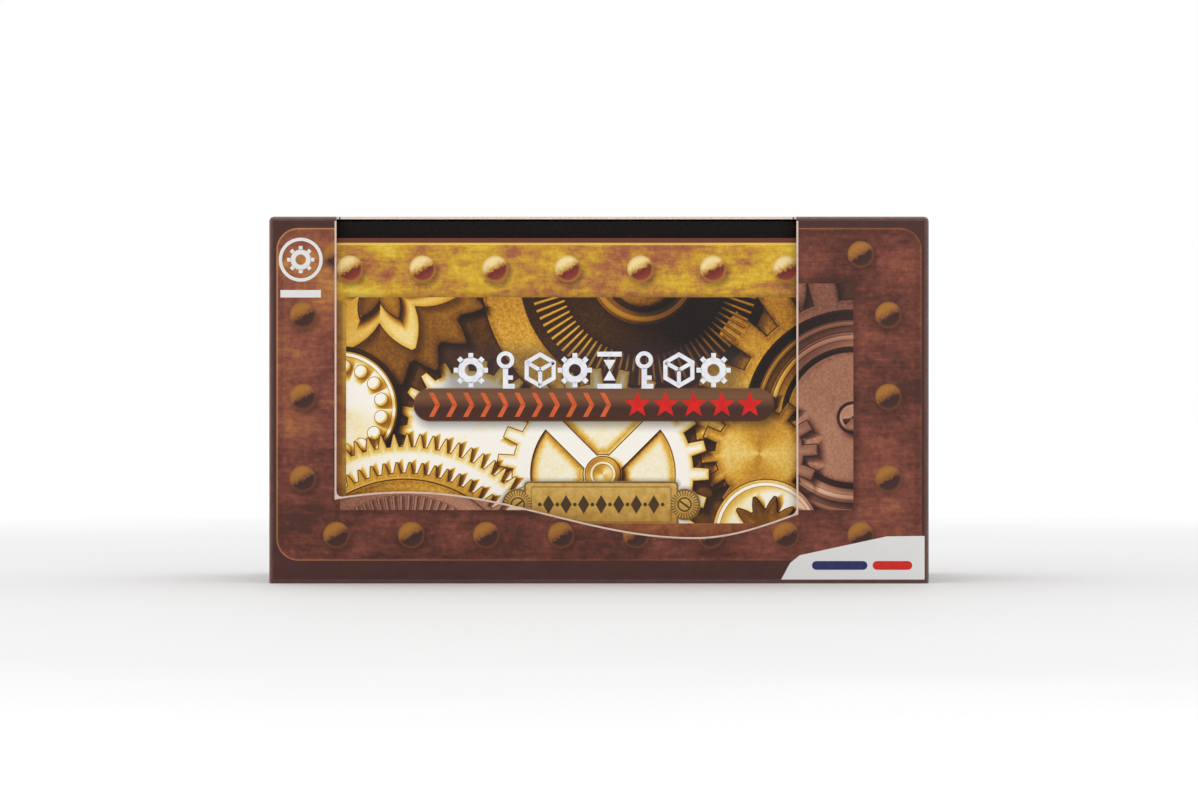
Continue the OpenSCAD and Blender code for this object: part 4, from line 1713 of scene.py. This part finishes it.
@dataclass
class Outline:
    """A flat printed patch with straight sides, its corners in millimetres."""

    name: str
    corners: tuple[tuple[float, float], ...]

    def build(self, face_y: float, finish: bpy.types.Material, body: str) -> bpy.types.Object:
        """Cuts the patch out of a sheet and lays it on a face.

        Args:
            face_y: The face it lies on.
            finish: Its ink.
            body: The body it rides on.

        Returns:
            The patch.
        """
        xs = [x * MM for x, _ in self.corners]
        zs = [z * MM for _, z in self.corners]
        patch = Bench.box(self.name, (min(xs), face_y - INK_DEPTH, min(zs)), (max(xs), face_y, max(zs)))
        count = len(self.corners)
        for i in range(count):
            x0, z0, x1, z1 = xs[i], zs[i], xs[(i + 1) % count], zs[(i + 1) % count]
            Bench.edit(patch, "FACE")
            bpy.ops.mesh.select_all(action="SELECT")
            bpy.ops.mesh.bisect(plane_co=(x0, face_y, z0), plane_no=(-(z1 - z0), 0.0, x1 - x0),
                                use_fill=True, clear_outer=True, threshold=1e-8)
            Bench.done()
        Bench.dress(patch, finish)
        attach(patch, body)
        log.info("%s: printed patch", self.name)
        return patch


@dataclass
class Ribbon:
    """A printed bar with rounded ends, in millimetres."""

    name: str
    x: float
    z: float
    width: float
    height: float

    def build(self, face_y: float, finish: bpy.types.Material, body: str) -> bpy.types.Object:
        """Makes the bar and lays it on a face.

        Args:
            face_y: The face it lies on.
            finish: Its ink.
            body: The body it rides on.

        Returns:
            The bar.
        """
        bar = Bench.box(self.name, (self.x * MM, face_y - INK_DEPTH, self.z * MM),
                        ((self.x + self.width) * MM, face_y, (self.z + self.height) * MM))
        mesh = Bench.edit(bar, "EDGE")
        Bench.pick(bar, mesh.edges, lambda e: abs(e.verts[0].co.y - e.verts[1].co.y) > TOUCH)
        bpy.ops.mesh.bevel(offset=self.height * 0.499 * MM, segments=6, affect="EDGES")
        Bench.done()
        Bench.dress(bar, finish)
        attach(bar, body)
        log.info("%s: printed bar", self.name)
        return bar


@dataclass
class Emblem:
    """A printed ring with a small gear in it and a bar below, in millimetres."""

    name: str
    x: float = -67.8
    z: float = 73.6
    ring_r: float = 5.0
    ring_w: float = 0.75
    gear_r: float = 2.3
    teeth: int = 8

    def build(self, face_y: float, finish: bpy.types.Material, body: str) -> bpy.types.Object:
        """Makes the emblem and lays it on a face.

        Args:
            face_y: The face it lies on.
            finish: Its ink.
            body: The body it rides on.

        Returns:
            The emblem.
        """
        middle = (self.x * MM, face_y, self.z * MM)
        pieces = [Bench.ring(middle, self.ring_r, self.ring_w), Bench.ring(middle, self.gear_r, 1.1)]
        for i in range(self.teeth):
            angle = 2 * math.pi * i / self.teeth
            tooth = Bench.box(
                "tooth",
                ((self.x - 0.42) * MM, face_y - INK_DEPTH, (self.z + self.gear_r - 0.1) * MM),
                ((self.x + 0.42) * MM, face_y, (self.z + self.gear_r + 0.8) * MM),
            )
            Bench.turn(tooth, angle, middle)
            pieces.append(tooth)
        bar = Bench.box("bar", ((self.x - 4.6) * MM, face_y - INK_DEPTH, (self.z - 8.6) * MM),
                        ((self.x + 4.6) * MM, face_y, (self.z - 6.9) * MM))
        pieces.append(bar)
        emblem = Bench.join(self.name, pieces)
        Bench.dress(emblem, finish)
        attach(emblem, body)
        log.info("%s: ring, gear and bar", self.name)
        return emblem


# ---------------------------------------------------------------------------------------------------
# Tray
# ---------------------------------------------------------------------------------------------------


@dataclass
class Tray:
    """The gilt printed tray."""

    gearwork: Gearwork
    inside: bpy.types.Material
    cut_edge: bpy.types.Material
    star_count: int = 5
    star_r: float = 3.15 * MM
    star_waist: float = 0.42
    chevron_count: int = 11

    def build(self) -> None:
        """Builds the shell, its prints and the title's pictograms."""
        border = Card.fold("tray_border", "a87428", "c08c34", "e2c07a")
        shell = CardShell("tray_card", "inner_tray", "tray", "printed_tray", True,
                          border, self.inside, self.cut_edge)
        shell.build()
        top = shell.high.z / MM
        half_w, half_d = shell.high.x / MM, shell.high.y / MM
        for side in (Side.FRONT, Side.BACK, Side.LEFT, Side.RIGHT):
            wide = side in (Side.FRONT, Side.BACK)
            name = f"tray_{side.name.lower()}_print"
            finish = TrayPanelPrint(side, half_w if wide else half_d, top, side is Side.FRONT)
            shell.panel(name, side, 0.0 if wide else shell.fold, finish.material(name, self.gearwork))
        face = shell.low.y - INK_DEPTH
        self.stars(face)
        self.chevrons(face)
        self.pictograms(face)

    def stars(self, face: float) -> None:
        """Prints the row of red stars, each a ten-sided disc with every other corner drawn in.

        Args:
            face: The printed face's place along Y.
        """
        red = flat_ink("star_red", "e0201a", "cc1c18")
        stars = []
        for i in range(self.star_count):
            star = Bench.disc("star", 0.0, 0.0, 0.0, self.star_r, 10)
            mesh = Bench.edit(star, "VERT")
            ring = sorted(mesh.verts, key=lambda v: math.atan2(v.co.z, v.co.x))
            start = max(range(10), key=lambda k: ring[k].co.z)
            for k in range(10):
                ring[(start + k) % 10].select_set(k % 2 == 1)
            bmesh.update_edit_mesh(star.data)
            waist = (self.star_waist, 1.0, self.star_waist)
            bpy.ops.transform.resize(value=waist, center_override=(0, 0, 0))
            bpy.ops.mesh.select_all(action="SELECT")
            bpy.ops.transform.translate(value=((8.75 + 6.4 * i) * MM, face, RATING_Z * MM))
            Bench.done()
            Bench.modify(star, "SOLIDIFY", thickness=INK_DEPTH, offset=1.0)
            stars.append(star)
        self.place(Bench.join("rating_stars", stars), red)

    def chevrons(self, face: float) -> None:
        """Prints a row of orange chevrons beside the stars.

        Args:
            face: The printed face's place along Y.
        """
        orange = flat_ink("chevron_orange", "e06432", "d05a2c")
        marks = []
        half_w, foot, head = 0.55 * MM, -0.05 * MM, 2.75 * MM
        for i in range(self.chevron_count):
            x = (-38.2 + 3.9 * i) * MM
            for tilt in (1, -1):
                bar = Bench.box("bar", (x - half_w, face - INK_DEPTH, foot), (x + half_w, face, head))
                Bench.edit(bar, "VERT")
                bpy.ops.mesh.select_all(action="SELECT")
                bpy.ops.transform.resize(value=(1.0, 1.0, tilt), center_override=(x, face, 0.0))
                bpy.ops.transform.translate(value=(0.0, 0.0, RATING_Z * MM))
                mesh = bmesh.from_edit_mesh(bar.data)
                bpy.ops.mesh.select_all(action="DESELECT")
                Bench.pick(bar, mesh.verts, lambda v: abs(v.co.z - RATING_Z * MM) < 0.3 * MM)
                bpy.ops.transform.translate(value=(1.5 * MM, 0.0, 0.0))
                bpy.ops.mesh.select_all(action="SELECT")
                bpy.ops.mesh.normals_make_consistent(inside=False)
                Bench.done()
                marks.append(bar)
        self.place(Bench.join("rating_chevrons", marks), orange)

    def pictograms(self, face: float) -> None:
        """Prints the white row of pictograms where a title would be.

        Args:
            face: The printed face's place along Y.
        """
        white = flat_ink("title_white", "f4f5f8", "e4e6ee")
        marks: list[bpy.types.Object] = []
        for i, kind in enumerate(("gear", "key", "cube", "gear", "hourglass", "key", "cube", "gear")):
            x = (-29.2 + 7.9 * i) * MM
            marks += Pictogram(kind, x, 48.5 * MM, face).pieces()
        self.place(Bench.join("title_pictograms", marks), white)

    def place(self, piece: bpy.types.Object, finish: bpy.types.Material) -> None:
        """Dresses a printed mark and lets it ride on the tray.

        Args:
            piece: The mark.
            finish: Its ink.
        """
        Bench.dress(piece, finish)
        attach(piece, "tray")
        log.info("%s: %d faces", piece.name, len(piece.data.polygons))


@dataclass
class Pictogram:
    """One flat stencilled mark, 7 mm wide and 8.6 mm high, in metres."""

    kind: str
    x: float
    z: float
    face: float

    def pieces(self) -> list[bpy.types.Object]:
        """Makes the mark's pieces."""
        return getattr(self, self.kind)()

    def bar(self, left: float, right: float, low: float, high: float) -> bpy.types.Object:
        """Makes a bar, its sides in millimetres from the mark's middle."""
        return Bench.box("bar", (self.x + left * MM, self.face - INK_DEPTH, self.z + low * MM),
                         (self.x + right * MM, self.face, self.z + high * MM))

    def ring(self, up: float, radius: float, width: float, count: int = 40) -> bpy.types.Object:
        """Makes a ring, or a polygon's frame, round a point above the middle."""
        return Bench.ring((self.x, self.face, self.z + up * MM), radius, width, count)

    def spokes(
        self, count: int, half_w: float, low: float, high: float, start: float
    ) -> list[bpy.types.Object]:
        """Makes bars that point away from the middle.

        Args:
            count: Number of bars.
            half_w: Half of a bar's width, in millimetres.
            low: Where a bar starts, from the middle.
            high: Where it ends.
            start: Angle of the first one, in radians.

        Returns:
            The bars.
        """
        bars = [self.bar(-half_w, half_w, low, high) for _ in range(count)]
        for i, bar in enumerate(bars):
            Bench.turn(bar, start + 2 * math.pi * i / count, (self.x, self.face, self.z))
        return bars

    def gear(self) -> list[bpy.types.Object]:
        """A gear with eight teeth."""
        return [self.ring(0.0, 2.9, 1.5)] + self.spokes(8, 0.55, 2.7, 3.9, 0.0)

    def key(self) -> list[bpy.types.Object]:
        """A key, bow up."""
        return [self.ring(2.3, 2.0, 0.95), self.bar(-0.6, 0.6, -4.2, 0.5), self.bar(0.6, 2.1, -4.2, -3.1),
                self.bar(0.6, 1.7, -2.2, -1.2)]

    def cube(self) -> list[bpy.types.Object]:
        """A hexagon with three spokes, which reads as a cube."""
        return [self.ring(0.0, 4.1, 0.95, 6)] + self.spokes(3, 0.45, 0.0, 3.6, math.pi / 3)

    def hourglass(self) -> list[bpy.types.Object]:
        """Two bars with two triangles between them.

        Returns:
            The mark's pieces.
        """
        pieces = [self.bar(-2.8, 2.8, 3.1, 4.2), self.bar(-2.8, 2.8, -4.2, -3.1)]
        for sign in (-1, 1):
            half = Bench.disc("half", self.x, self.face, self.z + sign * 1.55 * MM, 1.6 * MM, 3)
            if sign > 0:
                Bench.turn(half, math.pi, (self.x, self.face, self.z + 1.55 * MM))
            Bench.modify(half, "SOLIDIFY", thickness=INK_DEPTH, offset=1.0)
            pieces.append(half)
        return pieces


# ---------------------------------------------------------------------------------------------------
# Wooden box and lid
# ---------------------------------------------------------------------------------------------------


@dataclass
class Woodwork:
    """The plywood box, its lid and the gears, made from the CAD nodes with eased edges."""

    ease: float = 0.15 * MM
    fine: float = 0.08 * MM

    def build(self) -> None:
        """Builds and dresses every piece."""
        burnt = ("8a5c34", "4a2a16")
        ply = Timber("birch_ply", "dcb98a", "b98c58", *burnt)
        ply_front = Timber("birch_ply_long_wall", "dcb98a", "b98c58", *burnt, 0, face_axis=1)
        ply_end = Timber("birch_ply_end_wall", "d8b484", "b58854", *burnt, 1, face_axis=0)
        black = Timber("black_ply", "1c1613", "120d0b", "1a1411", "0e0a09", 0, 0.7, face_axis=2, gloss=0.15)
        maple = Timber("maple_gear", "e2bd84", "c0935a", "7a4a28", "3c2010", 0, 0.45)
        walnut = Timber("walnut_gear", "7c4e2e", "50301c", "4a2c1a", "281408", 1, 0.45)
        plan = {
            "box_floor": ply, "front_wall": ply_front, "back_wall": ply_front, "left_wall": ply_end,
            "right_wall": ply_end, "lid_plate": black, "lid_core": black, "inner_plate": ply,
            "front_guide": ply, "back_guide": ply, "keeper_plate": ply, "drive_gear": maple,
            "lock_gear": maple, "idler_gear": walnut, "left_bolt": walnut, "right_bolt": walnut,
        }
        record = frame["record"]
        slots = {row["node"]: row["material_slot"] for row in record["subparts"]}
        bodies = {node: body for body, nodes in record["behaviour"]["bodies"].items() for node in nodes}
        woods = (ply, ply_front, ply_end, black, maple, walnut)
        made = {finish.name: finish.material() for finish in woods}
        for node, finish in plan.items():
            self.replace(node, made[finish.name], bodies[node], slots[node], self.ease)
        brass, steel, felt = Metal.BRASS.material(), Metal.STEEL.material(), felt_material()
        for node in ("gear_washers", "idler_screw", "lid_screws", "drive_axle", "lock_axle", "pinion"):
            self.replace(node, brass, bodies[node], slots[node], self.fine)
        for node in ("keeper_screws", "drive_collar"):
            self.replace(node, steel, bodies[node], slots[node], self.fine)
        self.replace("floor_felt", felt, bodies["floor_felt"], slots["floor_felt"], self.ease)

    def replace(self, node: str, finish: bpy.types.Material, body: str, slot: str, ease: float) -> None:
        """Puts an eased and dressed copy in a CAD node's place.

        Args:
            node: The CAD node.
            finish: Its material.
            body: The body it rides on.
            slot: The record's material slot; not used.
            ease: Width of the eased edges, in metres.
        """
        piece = Bench.eased(node, f"{node}_made", ease)
        Bench.dress(piece, finish)
        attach(piece, body)
        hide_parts(node)
        log.info("%s: %d faces", piece.name, len(piece.data.polygons))


# ---------------------------------------------------------------------------------------------------
# Studio
# ---------------------------------------------------------------------------------------------------


@dataclass
class Studio:
    """Pale floor, soft light and the level camera."""

    distance: float = 0.95
    view_w: float = 272.3 * MM
    sensor: float = 36.0
    floor_r: float = 6.0

    def build(self) -> None:
        """Sets up the floor, the lights, the sky and the camera."""
        self.floor()
        self.sky()
        self.softbox("key_light", (-0.6, -0.8, 0.8), 0.7, 1.3)
        self.softbox("fill_light", (0.6, -1.0, 0.3), 0.5, 1.4)
        self.softbox("top_light", (-0.1, 0.2, 1.1), 0.9, 1.2)
        self.camera()
        bpy.context.scene.view_settings.view_transform = "Standard"

    def floor(self) -> None:
        """Adds the pale floor, with painted shade near the pack that fades out to a brighter floor far off.
        """
        bpy.ops.object.select_all(action="DESELECT")
        bpy.ops.mesh.primitive_circle_add(
            vertices=96, radius=self.floor_r, fill_type="NGON", location=(0, 0, 0)
        )
        floor = Bench.named("floor")
        canvas = Canvas("floor_paper")
        # Painted shade: the floor paper is darker near the pack and lighter far away, standing in for light
        # falling off round it.
        painted_light_falloff = Spot(canvas.x, canvas.y).length().rise(150.0, 900.0, 0.0, 0.8)
        tone = painted_light_falloff + canvas.noise(0.01, 2.0, 0.5, 3.0) * 0.2
        colour = canvas.ramp(tone, ((0.0, "dcdcdc"), (0.2, "dfdfdf"), (0.8, "fafafa"), (1.0, "fcfcfc")))
        Bench.dress(floor, canvas.dress(colour, 0.7, Specular_IOR_Level=0.2))

    def sky(self) -> None:
        """Sets a white surround: bright behind and above the pack, dimmer towards its front."""
        world = bpy.data.worlds.new("white_surround")
        world.use_nodes = True
        sheet = Sheet()
        sheet.tree = world.node_tree
        split = sheet.node("ShaderNodeSeparateXYZ")
        sheet.tree.links.new(sheet.node("ShaderNodeTexCoord").outputs["Generated"], split.inputs[0])
        y, z = Field(sheet, split.outputs["Y"]), Field(sheet, split.outputs["Z"])
        light = y.rise(-0.5, 0.4, 0.62, 1.0) + z.rise(0.15, 0.9, 0.0, 0.35)
        sheet.feed(world.node_tree.nodes["Background"].inputs["Strength"], light)
        world.node_tree.nodes["Background"].inputs["Color"].default_value = (1.0, 1.0, 1.0, 1.0)
        bpy.context.scene.world = world

    def softbox(self, name: str, place: tuple[float, float, float], size: float, power: float) -> None:
        """Adds a square soft light aimed at the pack.

        Args:
            name: Its name.
            place: Where it stands, in metres.
            size: Length of its sides, in metres.
            power: Its power, in watts.
        """
        data = bpy.data.lights.new(name, "AREA")
        data.energy = power
        data.size = size
        light = bpy.data.objects.new(name, data)
        bpy.context.scene.collection.objects.link(light)
        light.location = place
        light.rotation_mode = "QUATERNION"
        aim = Vector((0.0, 0.0, 0.04)) - Vector(place)
        light.rotation_quaternion = aim.to_track_quat("-Z", "Y")

    def camera(self) -> None:
        """Adds the level camera, in front of the middle of the pack."""
        low, high = cad_box
        data = bpy.data.cameras.new("camera")
        data.sensor_width = self.sensor
        data.lens = self.sensor * self.distance / self.view_w
        data.clip_start, data.clip_end = 0.01, 50.0
        camera = bpy.data.objects.new("camera", data)
        bpy.context.scene.collection.objects.link(camera)
        camera.location = (0.0, low.y - self.distance, (low.z + high.z) / 2)
        camera.rotation_euler = (math.pi / 2, 0.0, 0.0)
        bpy.context.scene.camera = camera


def main() -> None:
    """Builds the pack, from the studio inwards."""
    logging.basicConfig(level=logging.INFO, format="%(name)s: %(message)s")
    Studio().build()
    inside, cut_edge = Card.inside(), Card.cut()
    gearwork = Gearwork()
    Cover(Window(), gearwork, inside, cut_edge).build()
    Tray(gearwork, inside, cut_edge).build()
    Woodwork().build()


if __name__ == "__main__":
    main()
